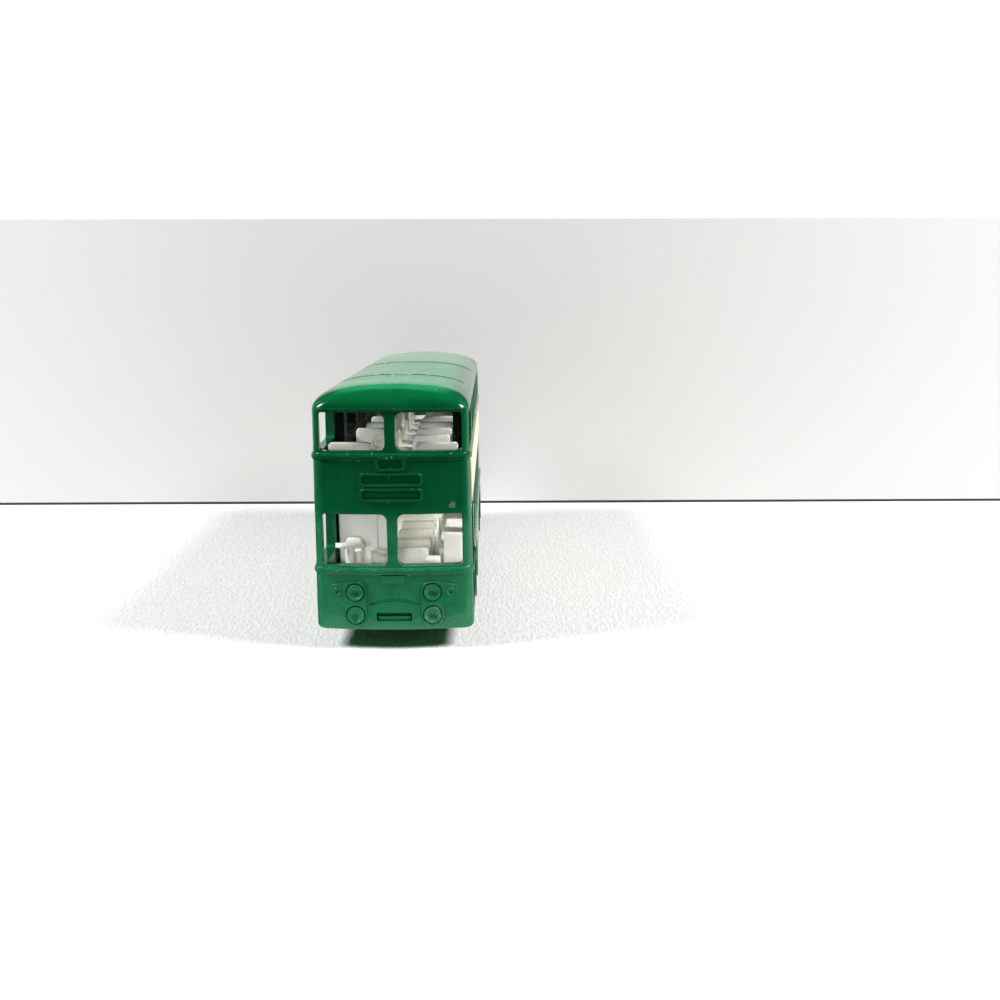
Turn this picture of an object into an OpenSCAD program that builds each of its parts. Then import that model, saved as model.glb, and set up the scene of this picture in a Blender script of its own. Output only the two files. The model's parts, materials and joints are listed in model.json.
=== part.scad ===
// Pocket die-cast double-decker bus: an enamelled zinc shell with open windows, a riveted base,
// two white seat mouldings, wire axles and free-running wheels.
// Millimetres. +Z is up, the front looks along -Y and the doors are on the +X side.
// The origin lies on the ground, under the middle of the bus.

/* [Body] */
// Overall length of the shell
body_l = 77; // [70:0.5:90]
// Width across the side panels at the skirt
body_w = 22; // [21:0.1:27]
// How far each side leans in between the skirt and the roof
side_draft = 0.45; // [0:0.05:0.8]
// Height of the skirt's lower edge above the ground
skirt_z = 2.8; // [2.4:0.1:3.4]
// Thickness of the cast walls
wall = 1.25; // [0.9:0.05:1.5]
// How far the middle of the front stands ahead of its corners
front_bow = 1; // [0.5:0.1:1.6]
// Radius of the upright corners
corner_r = 1.6; // [1:0.1:2.4]
// Height of the domed part of the roof
roof_rise = 3.3; // [2.4:0.1:4.5]
// Length of the dome over the front
dome_front = 7; // [4:0.5:10]
// Length of the dome over the back
dome_rear = 4.5; // [3:0.5:8]

/* [Windows] */
// Height of the lower window sills above the ground
lower_sill_z = 12.15; // [11.75:0.05:13.75]
// Height of the lower windows
lower_window_h = 7.25; // [6:0.05:8]
// Height of the panel between the decks
between_h = 8.6; // [8:0.1:10]
// Height of the upper windows
upper_window_h = 5.2; // [4.4:0.1:6.5]
// Wall left over the upper windows before the roof starts to curve
header_h = 0.15; // [0.1:0.05:0.6]
// Width of the pillar in the middle of the front
centre_pillar = 1.4; // [1.1:0.1:2.4]
// Width of the pillars at the front corners
corner_pillar = 1; // [0.9:0.05:1.6]
// Length of side wall ahead of the first side window
front_post = 1.75; // [1.6:0.05:3]
// Width of the pillars between the side windows
side_pillar = 1.9; // [1.2:0.1:3]
// Length of side wall behind the last side window
rear_quarter = 2.2; // [2:0.1:6]
// Number of window bays on each side
bays = 6; // [4:1:7]
// Corner radius of the side windows
window_r = 0.7; // [0.3:0.1:1.2]
// Radius of the panes' corners beside the front's middle pillar
pane_r = 1; // [0.6:0.1:1.6]

/* [Front and sides] */
// Height of the half-round belt mouldings
belt_h = 1; // [0.7:0.1:1.4]
// How far the belt mouldings stand out
belt_proud = 0.25; // [0.15:0.05:0.4]
// Width of the raised beads on the front
bead_w = 0.32; // [0.25:0.01:0.4]
// How far the beads stand out
bead_h = 0.22; // [0.12:0.02:0.36]
// Width of the two route boxes
route_w = 8.5; // [7:0.1:9.5]
// Height of one route box
route_h = 1.85; // [1.5:0.05:2]
// Half the distance between the headlamp columns
lamp_x = 5.3; // [4.8:0.1:5.8]
// Outer radius of the upper headlamps
high_lamp_r = 1.16; // [0.9:0.02:1.3]
// Outer radius of the lower headlamps
low_lamp_r = 1.2; // [0.9:0.02:1.3]
// Height of the side labels
label_h = 6; // [4.5:0.1:6.2]
// Thickness of the side labels
label_t = 0.1; // [0.06:0.02:0.2]

/* [Wheels and base] */
// Diameter of the wheels
wheel_d = 9.4; // [8.6:0.1:9.8]
// Width of the wheels
wheel_w = 3.2; // [2.4:0.1:3.6]
// Distance of the wheels' outer faces inside the side panels
wheel_inset = 1.3; // [0.9:0.1:1.8]
// Diameter of the wire axles
axle_d = 1; // [0.8:0.05:1.2]
// Play of a wheel on its axle and of an axle in its saddle, on the radius
running_gap = 0.05; // [0.03:0.01:0.08]
// Distance from the front of the body to the front axle
front_overhang = 21; // [20:0.5:23]
// Distance between the axles
wheelbase = 41; // [37:0.5:44]
// Thickness of the base plate
base_t = 1.2; // [1:0.1:1.5]
// Length of the flat resting pad under the base
pad_l = 16; // [12:0.5:20]
// Width of the flat resting pad under the base
pad_w = 9; // [7:0.5:10]

/* [Seats] */
// Thickness of the deck floors
floor_t = 1; // [0.8:0.1:1.3]
// Thickness of the seat backs
seat_t = 0.9; // [0.7:0.1:1.2]
// Distance from row to row on the upper deck
upper_pitch = 6.9; // [6:0.1:8]
// Distance from row to row on the lower deck
lower_pitch = 5.6; // [5.2:0.1:7]
// Width of the gangway on the upper deck
gangway = 4.2; // [3.4:0.1:5.4]
// How far the upper seat backs show over the sill
seat_show = 0.5; // [0.2:0.1:1]
// Radius of the steering wheel
steering_r = 2.1; // [1.6:0.1:2.4]

/* [Hidden] */
$fn = 48;

// Overrun of every cut, and the clearance of fixed pieces that slip into one another
overrun = 1;
slip = 0.15;

// Main places that follow from the sizes above
half_w = body_w / 2;
front_y = -body_l / 2;
rear_y = body_l / 2;
top_hw = half_w - side_draft;
inner_hw = top_hw - wall;
bow_r = (half_w * half_w + front_bow * front_bow) / (2 * front_bow);
lower_top_z = lower_sill_z + lower_window_h;
upper_sill_z = lower_top_z + between_h;
upper_top_z = upper_sill_z + upper_window_h;
dome_z = upper_top_z + header_h;
roof_z = dome_z + roof_rise;
draft_angle = atan(side_draft / (dome_z - skirt_z));
belt_drop_share = 0.77;
belt_drop = belt_h * belt_drop_share;
bay_l = (body_l - front_post - rear_quarter - (bays - 1) * side_pillar) / bays;
bay_pitch = bay_l + side_pillar;

// Lofted shell: exponent of the roof's curve, share of the rise where the flat crown starts,
// growth of the corner radius over the roof with its exponent, and the steps of the loft
roof_power = 2.6;
crown_share = 0.985;
dome_corner_share = 0.85;
dome_corner_power = 1.5;
front_steps = 16;
corner_steps = 6;
dome_steps = 11;
inner_dome_steps = 5;
belt_steps = 6;
foot_steps = 4;
foot_r = 0.6;
inner_corner_r = corner_r / 2;

// Relief on the front: drops are measured down from the sill or belt above
outer_pane_share = 0.45;
outer_pane_r = pane_r * outer_pane_share;
number_w = 4.2;
number_foot_share = 0.86;
number_h = 1.9;
number_r = 0.4;
number_drop = 0.75;
route_drop = 2.9;
route_step = 2.1;
route_r = 0.75;
panel_recess = 0.15;
inner_bar_h = 0.5;
header_bead_h = 0.35;
flap_w = 3.4;
flap_h = 1.02;
flap_foot_share = 0.82;
flap_drop = 1.38;
flap_raise = 0.17;
high_lamp_drop = 3.75;
lamp_step = 3.25;
lamp_h = 0.38;
lamp_dish_share = 0.76;
dish_depth_share = 0.45;
moat_w = 0.17;
moat_recess = 0.1;
pad_r = 1.5;
pad_h = 0.26;
pad_foot_share = 0.55;
indicator_step = 2.45;
indicator_lift = 0.1;
indicator_x = lamp_x + indicator_step;
indicator_z = lower_sill_z - high_lamp_drop + indicator_lift;
indicator_r = 0.56;
indicator_pad_r = 1.05;
arch_w = 6.9;
arch_rise = 0.75;
arch_bar = 0.62;
arch_drop = 4.5;
arch_recess = 0.12;
plate_w = 4.9;
plate_h = 1.24;
plate_r = 0.15;
plate_drop = 6.66;
plate_recess = 0.95;
plate_margin = 0.22;
plate_sink = 0.25;
plate_fill_share = 0.52;

// Doors, louvres and back
door_margin = 0.5;
door_w = bay_l - 2 * door_margin;
door_foot = 1.9;
door_recess = 0.3;
door_bar = 1.1;
door_glass_lift = 2.6;
cab_window_l = 8.6;
lip_w = 0.55;
lip_h = 0.15;
louvre_h = 0.5;
louvre_step = 1.15;
louvre_recess = 0.4;
louvre_drop = 2.2;
side_louvres = 4;
side_louvre_l = 5;
rear_window_w = 13.4;
rear_cover_w = 13.6;
rear_cover_h = 10.4;
rear_cover_lift = 2.2;
rear_louvres = 5;
rear_louvre_w = 11;
tail_lamp_r = 0.75;
tail_lamp_x = 8.3;
tail_lamp_step = 1.9;
rib_w = 1;
rib_h = 0.04;
rib_places_share = [0.24, 0.58];

// Wheels, axles and base
wheel_r = wheel_d / 2;
axle_r = axle_d / 2;
bore_r = axle_r + running_gap;
front_axle_y = front_y + front_overhang;
rear_axle_y = front_axle_y + wheelbase;
wheel_out_x = half_w - wheel_inset;
wheel_in_x = wheel_out_x - wheel_w;
tyre_edge_r = 0.55;
hub_share = 0.6;
hub_r = wheel_r * hub_share;
hub_depth = 0.75;
boss_r = 1.15;
boss_h = 0.4;
treads = 36;
tread_w_share = 0.35;
tread_depth = 0.14;
head_r = 0.85;
head_t = 0.42;
head_gap = 0.06;
arch_gap = 0.8;
arch_r = wheel_r + arch_gap;
base_z = skirt_z;
base_top = base_z + base_t;
saddle_w = 1.8;
saddle_gap = 0.7;
box_wall = 0.6;
box_gap = 0.5;
saddle_x = wheel_in_x - box_gap - saddle_gap - saddle_w / 2;
saddle_l = 3.2;
saddle_over = 0.9;
floor_z = wheel_r + saddle_over;
pad_t = 0.5;
pad_y = (front_axle_y + rear_axle_y) / 2;
sump_w = 7;
sump_l = 8;
sump_t = 0.4;
spine_w = 2.4;
spine_t = 0.3;
post_r = 1.5;
post_inset = 2.3;
post_h = 5.5;
web_t = 1.6;
shank_r = 0.85;
rivet_r = 1.35;
rivet_t = 0.45;
rivet_sink = 0.5;
rivet_room = 0.35;

// Seat mouldings
deck_inset = half_w - inner_hw + slip;
deck_hw = half_w - deck_inset;
upper_floor_drop = 4.8;
upper_floor_z = upper_sill_z - upper_floor_drop;
seat_top_z = upper_sill_z + seat_show;
seat_r = 0.45;
frame_t = 1.25;
frame_in_x = deck_hw - frame_t;
frame_rim = 0.6;
frame_head = 0.25;
seat_gap = 0.4;
seat_outer_x = frame_in_x - seat_gap;
bulkhead_gap = 0.25;
bulkhead_outer_x = deck_hw - bulkhead_gap;
bulkhead_inner_x = 3.1;
cushion_l = 3.5;
cushion_h = 2.3;
upper_first = 4.3;
upper_rear_room = 3.4;
stairwell_w = 5.2;
stairwell_l = 9.2;
stairwell_first = 8.6;
stairwell_y = front_y + stairwell_first;
guard_inset = 0.5;
left_inset = 1.1;
scoop_r = 1.1;
scoop_rim = 0.3;
scoop_drop = 0.95;
scoop_depth_share = 0.65;
lower_floor_top = floor_z + floor_t;
bench_h = 5.5;
bench_top_z = lower_floor_top + bench_h;
bench_cushion_h = 2.6;
bench_cushion_l = 3.2;
bench_out_x = 4.2;
bench_in_x = -1.2;
bench_gap = 0.95;
bench_left_x = bench_gap - deck_hw;
lower_first = 9;
lower_rear_room = 11;
tower_first = 11;
tower_y = front_y + tower_first;
tower_front_t = 0.9;
tower_l = 12.4;
tower_gap = 0.2;
tower_out_x = tower_gap - deck_hw;
tower_in_x = -3.4;
tower_side_x = -2;
tower_set_back = 2;
steps = 6;
engine_wall_t = 1;
engine_wall_room = 6;
engine_wall_hw_share = 0.6;
shelf_w = 2.75;
shelf_in_x = deck_hw - shelf_w;
shelf_first = 10.6;
shelf_y = front_y + shelf_first;
shelf_l = 9.4;
shelf_lift = 1.85;
shelf_top_z = lower_sill_z + shelf_lift;
steering_inset = 2.75;
steering_x = steering_inset - deck_hw;
steering_first = 4.6;
steering_y = front_y + steering_first;
steering_lift = 1.75;
steering_z = lower_sill_z + steering_lift;
steering_t = 0.65;
steering_tilt = -13;
column_r = 0.55;
driver_w = 2.2;
driver_t = 1.1;
driver_first = 7.6;
driver_y = front_y + driver_first;
driver_lift = 1.9;
driver_top_z = lower_sill_z + driver_lift;
driver_cushion_drop = 1.6;
cab_door_x = -3.6;
cab_door_w = 2;
cab_door_l = 2.6;
cab_door_first = 4.9;
cab_door_y = front_y + cab_door_first;
cab_door_lift = 0.7;
cab_door_top_z = lower_sill_z + cab_door_lift;
cab_door_fall = 0.7;
fare_x = 4;
fare_w = 2.1;
fare_l = 2.4;
fare_first = 4.6;
fare_y = front_y + fare_first;
fare_drop = 0.45;
fare_top_z = lower_sill_z - fare_drop;

// Side labels
label_front = 2.4;
label_rear = 3.2;
label_r = 0.5;
label_gap = 0.25;
label_top_z = upper_sill_z - belt_drop - belt_h / 2 - label_gap;

// Points on an arc about a centre, from one angle to another
function arc(c, r, a0, a1, n) =
    [for (i = [0:n]) let (a = a0 + (a1 - a0) * i / n) c + r * [cos(a), sin(a)]];

// Part of a list, without its first or its last points
function tail(p) = [for (i = [1:len(p) - 1]) p[i]];
function head(p) = [for (i = [0:len(p) - 2]) p[i]];

// Plan of the body: a bowed front, two straight sides and a flat back, with rounded corners.
// Each corner arc is tangent to the side and to the bow.
function plan(hw, yf, yr, r) =
    let (cx = hw - r,
         turn = asin(cx / (bow_r - r)),
         cf = yf + bow_r - sqrt(pow(bow_r - r, 2) - cx * cx),
         cr = yr - r)
    concat(arc([0, yf + bow_r], bow_r, -90 - turn, turn - 90, front_steps),
           tail(arc([cx, cf], r, turn - 90, 0, corner_steps)),
           arc([cx, cr], r, 0, 90, corner_steps),
           arc([-cx, cr], r, 90, 180, corner_steps),
           head(arc([-cx, cf], r, 180, 270 - turn, corner_steps)));

// Half the width of the leaning sides at a height
function side_x(z) = half_w - side_draft * (z - skirt_z) / (dome_z - skirt_z);

// The body's plan moved out by a distance, as points at one height
function level(z, out) =
    [for (p = plan(side_x(z) + out, front_y - out, rear_y + out, corner_r + out)) [p[0], p[1], z]];

// Curve of the roof: 1 at its springing line, 0 at the top of a full crown
function roof_curve(t) = pow(1 - pow(t, roof_power), 1 / roof_power);

// One level of the domed roof, at a share t of its rise, for a shell that lies a depth inside
function dome_level(t, depth) =
    let (c = roof_curve(t * crown_share),
         hw = (top_hw - depth) * c,
         r0 = depth > 0 ? inner_corner_r : corner_r,
         r = r0 + (hw * dome_corner_share - r0) * pow(t, dome_corner_power),
         yf = front_y + depth + dome_front * (1 - c),
         yr = rear_y - depth - dome_rear * (1 - c))
    [for (p = plan(hw, yf, yr, r)) [p[0], p[1], dome_z + (roof_rise - depth) * t]];

// Levels of one half-round belt, hung under a window sill
function belt(sill_z) =
    [for (i = [0:belt_steps])
        let (a = 180 * i / belt_steps, out = belt_proud * sin(a))
        level(sill_z - belt_drop - belt_h / 2 * cos(a), out)];

// Levels of the rounded lower edge of the skirt
function foot() =
    [for (i = [0:foot_steps])
        let (a = 90 * i / foot_steps)
        level(skirt_z + foot_r * (1 - cos(a)), foot_r * (sin(a) - 1))];

// How far the bowed front lies behind its middle, at a distance x from the middle
function bow(x) = bow_r - sqrt(bow_r * bow_r - x * x);

// Solid through a stack of closed levels that all have the same number of points
module loft(levels) {
    n = len(levels[0]);
    m = len(levels);
    points = [for (lv = levels) for (p = lv) p];
    sides = [for (k = [0:m - 2]) for (i = [0:n - 1])
        let (a = k * n + i, b = k * n + (i + 1) % n)
        each [[a, a + n, b + n], [a, b + n, b]]];
    floor_face = [for (i = [1:n - 2]) [0, i, i + 1]];
    roof_face = [for (i = [1:n - 2]) [(m - 1) * n, (m - 1) * n + i + 1, (m - 1) * n + i]];
    polyhedron(points, concat(floor_face, sides, roof_face));
}

// Rectangle between two corners, with round corners
module rounded(x0, y0, x1, y1, r) {
    translate([x0 + r, y0]) square([x1 - x0 - 2 * r, y1 - y0]);
    translate([x0, y0 + r]) square([x1 - x0, y1 - y0 - 2 * r]);
    for (x = [x0 + r, x1 - r], y = [y0 + r, y1 - r]) translate([x, y]) circle(r);
}

// Outline of a trapezoid that is narrower at its foot
module trapezoid(top_w, foot_w, z0, z1) {
    polygon([[-foot_w / 2, z0], [foot_w / 2, z0], [top_w / 2, z1], [-top_w / 2, z1]]);
}

// Profile drawn as (x, z), carried along Y
module along_y(y0, y1) {
    translate([0, y1, 0]) rotate([90, 0, 0]) linear_extrude(y1 - y0) children();
}

// Profile drawn as (y, z), carried along X
module along_x(x0, x1) {
    translate([x0, 0, 0]) rotate([90, 0, 90]) linear_extrude(x1 - x0) children();
}

// Round bar along X
module bar_x(r, x0, x1, y, z) {
    translate([x0, y, z]) rotate([0, 90, 0]) cylinder(r = r, h = x1 - x0);
}

// Horizontal plate with the plan of the hollow, a distance inside its walls
module plan_plate(inset, z0, z1) {
    translate([0, 0, z0]) linear_extrude(z1 - z0)
        polygon(plan(inner_hw - inset, front_y + wall + inset, rear_y - wall - inset, inner_corner_r));
}

// Upright drum that follows the bowed front, a distance outside or inside it
module bow_drum(out) {
    translate([0, front_y + bow_r, 0]) cylinder(r = bow_r + out, h = roof_z, $fn = 96);
}

// Raised relief on the front, from a profile drawn as (x, z)
module raised(out) {
    intersection() {
        along_y(front_y - overrun, front_y + front_bow + wall / 2) children();
        bow_drum(out);
    }
}

// Recess in the front, from a profile drawn as (x, z)
module sunk(depth) {
    difference() {
        along_y(front_y - overrun, front_y + front_bow + wall) children();
        bow_drum(-depth);
    }
}

// Ball whose cap is the shallow dish of a lamp of a radius, open towards -Y from the origin
module dish(lamp_r) {
    r = lamp_r * lamp_dish_share;
    depth = r * dish_depth_share;
    ball = (r * r + depth * depth) / (2 * depth);
    translate([0, depth - ball, 0]) sphere(r = ball);
}

// Moves what is drawn at x = 0 onto the leaning side, which its own height then follows
module on_side() {
    translate([half_w, 0, skirt_z]) rotate([0, -draft_angle, 0]) translate([0, 0, -skirt_z]) children();
}

// One front pane: round corners at the middle pillar, tighter ones at the corner of the body
module pane(z0, z1) {
    x0 = centre_pillar / 2;
    x1 = top_hw - corner_pillar;
    rounded(x0, z0, x1, z1, pane_r);
    rounded((x0 + x1) / 2, z0, x1, z1, outer_pane_r);
}

// Profiles on the front
module number_box(grow) {
    top = upper_sill_z - number_drop;
    offset(r = number_r) offset(delta = grow - number_r)
        trapezoid(number_w, number_w * number_foot_share, top - number_h, top);
}

module route_box(k) {
    top = upper_sill_z - route_drop - k * route_step;
    rounded(-route_w / 2, top - route_h, route_w / 2, top, route_r);
}

module route_glass(k) {
    top = upper_sill_z - route_drop - k * route_step - bead_w;
    rounded(bead_w - route_w / 2, top - route_h + 2 * bead_w, route_w / 2 - bead_w, top, route_r - bead_w);
}

// Pad behind one pair of headlamps, with an arm out to the indicator: a core grown by the arm's radius
module lamp_pad() {
    high_z = lower_sill_z - high_lamp_drop;
    foot_z = high_z - lamp_step * pad_foot_share;
    core = pad_r - indicator_pad_r;
    offset(r = indicator_pad_r)
        polygon([[lamp_x - core, high_z + core], [lamp_x - core, high_z - lamp_step - core],
                 [lamp_x + core, high_z - lamp_step - core], [lamp_x + core, foot_z],
                 [indicator_x, indicator_z], [lamp_x + core, high_z + core]]);
}

// Places and radii of the two headlamps and the indicator on the +X side, as (x, z, radius)
lamps = [[lamp_x, lower_sill_z - high_lamp_drop, high_lamp_r],
         [lamp_x, lower_sill_z - high_lamp_drop - lamp_step, low_lamp_r],
         [indicator_x, indicator_z, indicator_r]];

// Plain arched band over the number plate
module arch_profile() {
    r = (arch_w * arch_w / 4 + arch_rise * arch_rise) / (2 * arch_rise);
    top = lower_sill_z - arch_drop;
    intersection() {
        difference() {
            translate([0, top - r]) circle(r, $fn = 96);
            translate([0, top - r - arch_bar]) circle(r, $fn = 96);
        }
        translate([-arch_w / 2, top - arch_rise - arch_bar / 2]) square([arch_w, arch_rise + arch_bar]);
    }
}

// Slot for the number plate, and the low bar that stands in it
module plate_slot() {
    top = lower_sill_z - plate_drop;
    rounded(-plate_w / 2, top - plate_h, plate_w / 2, top, plate_r);
}

module plate_bar() {
    foot = lower_sill_z - plate_drop - plate_h;
    rounded(plate_margin - plate_w / 2, foot + plate_margin / 2,
            plate_w / 2 - plate_margin, foot + plate_h * plate_fill_share, plate_r);
}

// Everything that stands out from the front
module front_relief() {
    raised(bead_h) difference() {
        number_box(0);
        number_box(-bead_w);
    }
    for (k = [0, 1]) raised(bead_h) difference() {
        route_box(k);
        route_glass(k);
    }
    raised(bead_h / 2) translate([corner_pillar - top_hw, upper_top_z + header_h])
        square([2 * top_hw - 2 * corner_pillar, header_bead_h]);
    raised(flap_raise) trapezoid(flap_w, flap_w * flap_foot_share,
                                 lower_sill_z - flap_drop - flap_h, lower_sill_z - flap_drop);
    for (side = [0, 1]) mirror([side, 0, 0]) {
        raised(pad_h) lamp_pad();
        for (lamp = lamps) raised(lamp_h) translate([lamp[0], lamp[1]]) circle(lamp[2]);
    }
}

// Everything that is cut into the front
module front_cuts() {
    y1 = front_y + front_bow + 2 * wall;
    for (side = [0, 1]) mirror([side, 0, 0]) {
        along_y(front_y - overrun, y1) pane(lower_sill_z, lower_top_z);
        along_y(front_y - overrun, y1) pane(upper_sill_z, upper_top_z);
        for (lamp = [lamps[0], lamps[1]]) sunk(moat_recess) translate([lamp[0], lamp[1]]) difference() {
            circle(lamp[2] + moat_w);
            circle(lamp[2]);
        }
        for (lamp = lamps)
            translate([lamp[0], front_y + bow(lamp[0]) - lamp_h, lamp[1]]) dish(lamp[2]);
    }
    sunk(panel_recess) number_box(-bead_w);
    for (k = [0, 1]) sunk(panel_recess) route_glass(k);
    sunk(plate_recess) plate_slot();
    sunk(arch_recess) arch_profile();
}

// Bar in the plate slot, and the bar in the lower route box
module front_insets() {
    bar_z = upper_sill_z - route_drop - route_step - (route_h + inner_bar_h) / 2;
    raised(-plate_sink) plate_bar();
    raised(0) translate([route_r - route_w / 2, bar_z]) square([route_w - 2 * route_r, inner_bar_h]);
}

// First end of a window bay
function bay_y(i) = front_y + front_post + i * bay_pitch;

// One lower window bay on the +X side: a window, a door with two leaves, the cab window or a plain panel
module lower_bay(kind, i) {
    x0 = inner_hw - overrun;
    x1 = half_w + overrun;
    mid = bay_y(i) + bay_l / 2;
    foot = skirt_z + door_foot;
    if (kind == "window")
        along_x(x0, x1) rounded(bay_y(i), lower_sill_z, bay_y(i) + bay_l, lower_top_z, window_r);
    if (kind == "cab")
        along_x(x0, x1) rounded(bay_y(i), lower_sill_z, bay_y(i) + cab_window_l, lower_top_z, window_r);
    if (kind == "door") {
        on_side() along_x(-door_recess, overrun)
            rounded(mid - door_w / 2, foot, mid + door_w / 2, lower_top_z + window_r / 2, window_r / 2);
        for (s = [0, 1]) translate([0, mid, 0]) mirror([0, s, 0])
            along_x(x0, x1)
                rounded(door_bar / 2, foot + door_glass_lift,
                        door_w / 2 - door_bar / 2, lower_top_z, window_r);
    }
}

// Windows, doors, wheel arches and louvres on both sides
module side_cuts() {
    for (i = [0:bays - 1]) {
        last = i == bays - 1;
        along_x(-half_w - overrun, half_w + overrun)
            rounded(bay_y(i), upper_sill_z, bay_y(i) + bay_l, upper_top_z, window_r);
        lower_bay(last ? "panel" : i == 0 ? "door" : "window", i);
        mirror([1, 0, 0]) lower_bay(last || i == 1 ? "panel" : i == 0 ? "cab" : "window", i);
    }
    for (y = [front_axle_y, rear_axle_y])
        bar_x(arch_r, -half_w - overrun, half_w + overrun, y, wheel_r);
    for (k = [0:side_louvres - 1], side = [0, 1]) mirror([side, 0, 0])
        on_side() along_x(-louvre_recess, overrun)
            translate([rear_y - rear_quarter - side_louvre_l, lower_sill_z - louvre_drop - k * louvre_step])
                square([side_louvre_l, louvre_h]);
}

// Raised lips round the wheel arches
module arch_lips() {
    for (y = [front_axle_y, rear_axle_y]) difference() {
        bar_x(arch_r + lip_w, -half_w - lip_h, half_w + lip_h, y, wheel_r);
        bar_x(arch_r, -half_w - overrun, half_w + overrun, y, wheel_r);
        translate([-inner_hw - wall / 2, y - arch_r - overrun, skirt_z])
            cube([2 * inner_hw + wall, 2 * arch_r + 2 * overrun, 2 * arch_r]);
        translate([-half_w - overrun, y - arch_r - overrun, skirt_z - 2 * arch_r])
            cube([body_w + 2 * overrun, 2 * arch_r + 2 * overrun, 2 * arch_r]);
    }
}

// Upper window, engine cover, louvres and lamp rings at the back
module back_cuts() {
    along_y(rear_y - 2 * wall, rear_y + overrun)
        rounded(-rear_window_w / 2, upper_sill_z, rear_window_w / 2, upper_top_z, pane_r);
    for (k = [0:rear_louvres - 1]) along_y(rear_y - louvre_recess, rear_y + overrun)
        translate([-rear_louvre_w / 2, lower_sill_z - louvre_drop - k * louvre_step])
            square([rear_louvre_w, louvre_h]);
    for (side = [-1, 1], k = [0, 1])
        translate([side * tail_lamp_x, rear_y + bead_h, lower_sill_z - k * tail_lamp_step])
            mirror([0, 1, 0]) dish(tail_lamp_r);
}

module back_relief() {
    cover_z = skirt_z + rear_cover_lift;
    along_y(rear_y - wall / 2, rear_y + bead_h) difference() {
        rounded(-rear_cover_w / 2, cover_z, rear_cover_w / 2, cover_z + rear_cover_h, pane_r);
        rounded(bead_w - rear_cover_w / 2, cover_z + bead_w, rear_cover_w / 2 - bead_w,
                cover_z + rear_cover_h - bead_w, pane_r - bead_w);
    }
    for (side = [-1, 1], k = [0, 1])
        along_y(rear_y - wall / 2, rear_y + bead_h)
            translate([side * tail_lamp_x, lower_sill_z - k * tail_lamp_step]) circle(tail_lamp_r);
}

// Low ribs across the roof
module roof_ribs() {
    intersection() {
        translate([0, 0, rib_h])
            loft([for (i = [floor(dome_steps / 2):dome_steps]) dome_level(i / dome_steps, 0)]);
        for (s = rib_places_share) translate([-half_w, front_y + s * body_l, dome_z])
            cube([body_w, rib_w, 2 * roof_rise]);
    }
}

// Cast post with its web: stands on the base, and its shank is spread over under it as a rivet
module post(y, wall_y, top_z) {
    sink_z = base_z + rivet_sink;
    translate([0, y, base_top]) cylinder(r = post_r, h = top_z - base_top);
    translate([-web_t / 2, min(y, wall_y), base_top]) cube([web_t, abs(wall_y - y), top_z - base_top]);
    translate([0, y, sink_z - rivet_t / 2]) cylinder(r = shank_r, h = base_top + post_r - sink_z);
    translate([0, y, sink_z - rivet_t]) cylinder(r = rivet_r, h = rivet_t);
}

front_post_y = front_y + wall + post_inset;
rear_post_y = rear_y - wall - post_inset;

// One-piece casting: lofted shell, hollow below, with windows, doors, relief and rivet posts
module body_shell() {
    color("#0f7440") {
        difference() {
            union() {
                loft(concat(foot(), belt(lower_sill_z), belt(upper_sill_z),
                            [for (i = [0:dome_steps]) dome_level(i / dome_steps, 0)]));
                front_relief();
                back_relief();
                arch_lips();
                roof_ribs();
            }
            translate([0, 0, skirt_z - overrun]) linear_extrude(dome_z - skirt_z + overrun)
                polygon(plan(inner_hw, front_y + wall, rear_y - wall, inner_corner_r));
            loft([for (i = [0:inner_dome_steps]) dome_level(i / inner_dome_steps, wall)]);
            front_cuts();
            side_cuts();
            back_cuts();
        }
        front_insets();
        post(front_post_y, front_y + (plate_recess + wall) / 2, base_top + post_h);
        post(rear_post_y, rear_y - wall / 2, base_top + post_h);
    }
}

// Base plate with wheel wells, axle saddles, rivet holes and the resting pad
module base_plate() {
    color("#0f7440") difference() {
        union() {
            plan_plate(slip, base_z, base_top);
            translate([-pad_w / 2, pad_y - pad_l / 2, base_z - pad_t])
                cube([pad_w, pad_l, pad_t + base_t / 2]);
            translate([-spine_w / 2, front_axle_y, base_z - spine_t])
                cube([spine_w, wheelbase, spine_t + base_t / 2]);
            translate([-sump_w / 2, rear_axle_y - sump_l / 2, base_z - sump_t])
                cube([sump_w, sump_l, sump_t + base_t / 2]);
            for (y = [front_axle_y, rear_axle_y], side = [-1, 1])
                translate([side * saddle_x - saddle_w / 2, y - saddle_l / 2, base_z])
                    cube([saddle_w, saddle_l, floor_z - base_z]);
        }
        for (y = [front_axle_y, rear_axle_y]) {
            for (side = [0, 1]) mirror([side, 0, 0])
                translate([wheel_in_x - box_gap, y - arch_r, base_z - overrun])
                    cube([half_w, 2 * arch_r, base_t + 2 * overrun]);
            bar_x(bore_r, -half_w, half_w, y, wheel_r);
            translate([-half_w, y - bore_r, wheel_r]) cube([body_w, 2 * bore_r, floor_z]);
        }
        for (y = [front_post_y, rear_post_y]) translate([0, y, base_z]) {
            translate([0, 0, -overrun]) cylinder(r = shank_r + running_gap, h = base_t + 2 * overrun);
            translate([0, 0, -overrun]) cylinder(r = rivet_r + rivet_room, h = rivet_sink + overrun);
        }
    }
}

// Seat back between two X places: it stands on a floor and has round upper corners
module seat_back(x0, x1, y, z0, z1) {
    along_y(y, y + seat_t) {
        translate([x0, z0]) square([x1 - x0, z1 - z0 - seat_r]);
        rounded(x0, z0, x1, z1, seat_r);
    }
}

// Seat: a back and a cushion block ahead of it, whose front edge is rounded
module seat(x0, x1, y, z0, z1, depth, h) {
    seat_back(x0, x1, y, z0, z1);
    along_x(x0, x1) {
        translate([y - depth, z0]) square([depth + seat_t / 2, h - seat_r]);
        rounded(y - depth, z0, y + seat_t / 2, z0 + h, seat_r);
    }
}

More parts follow.
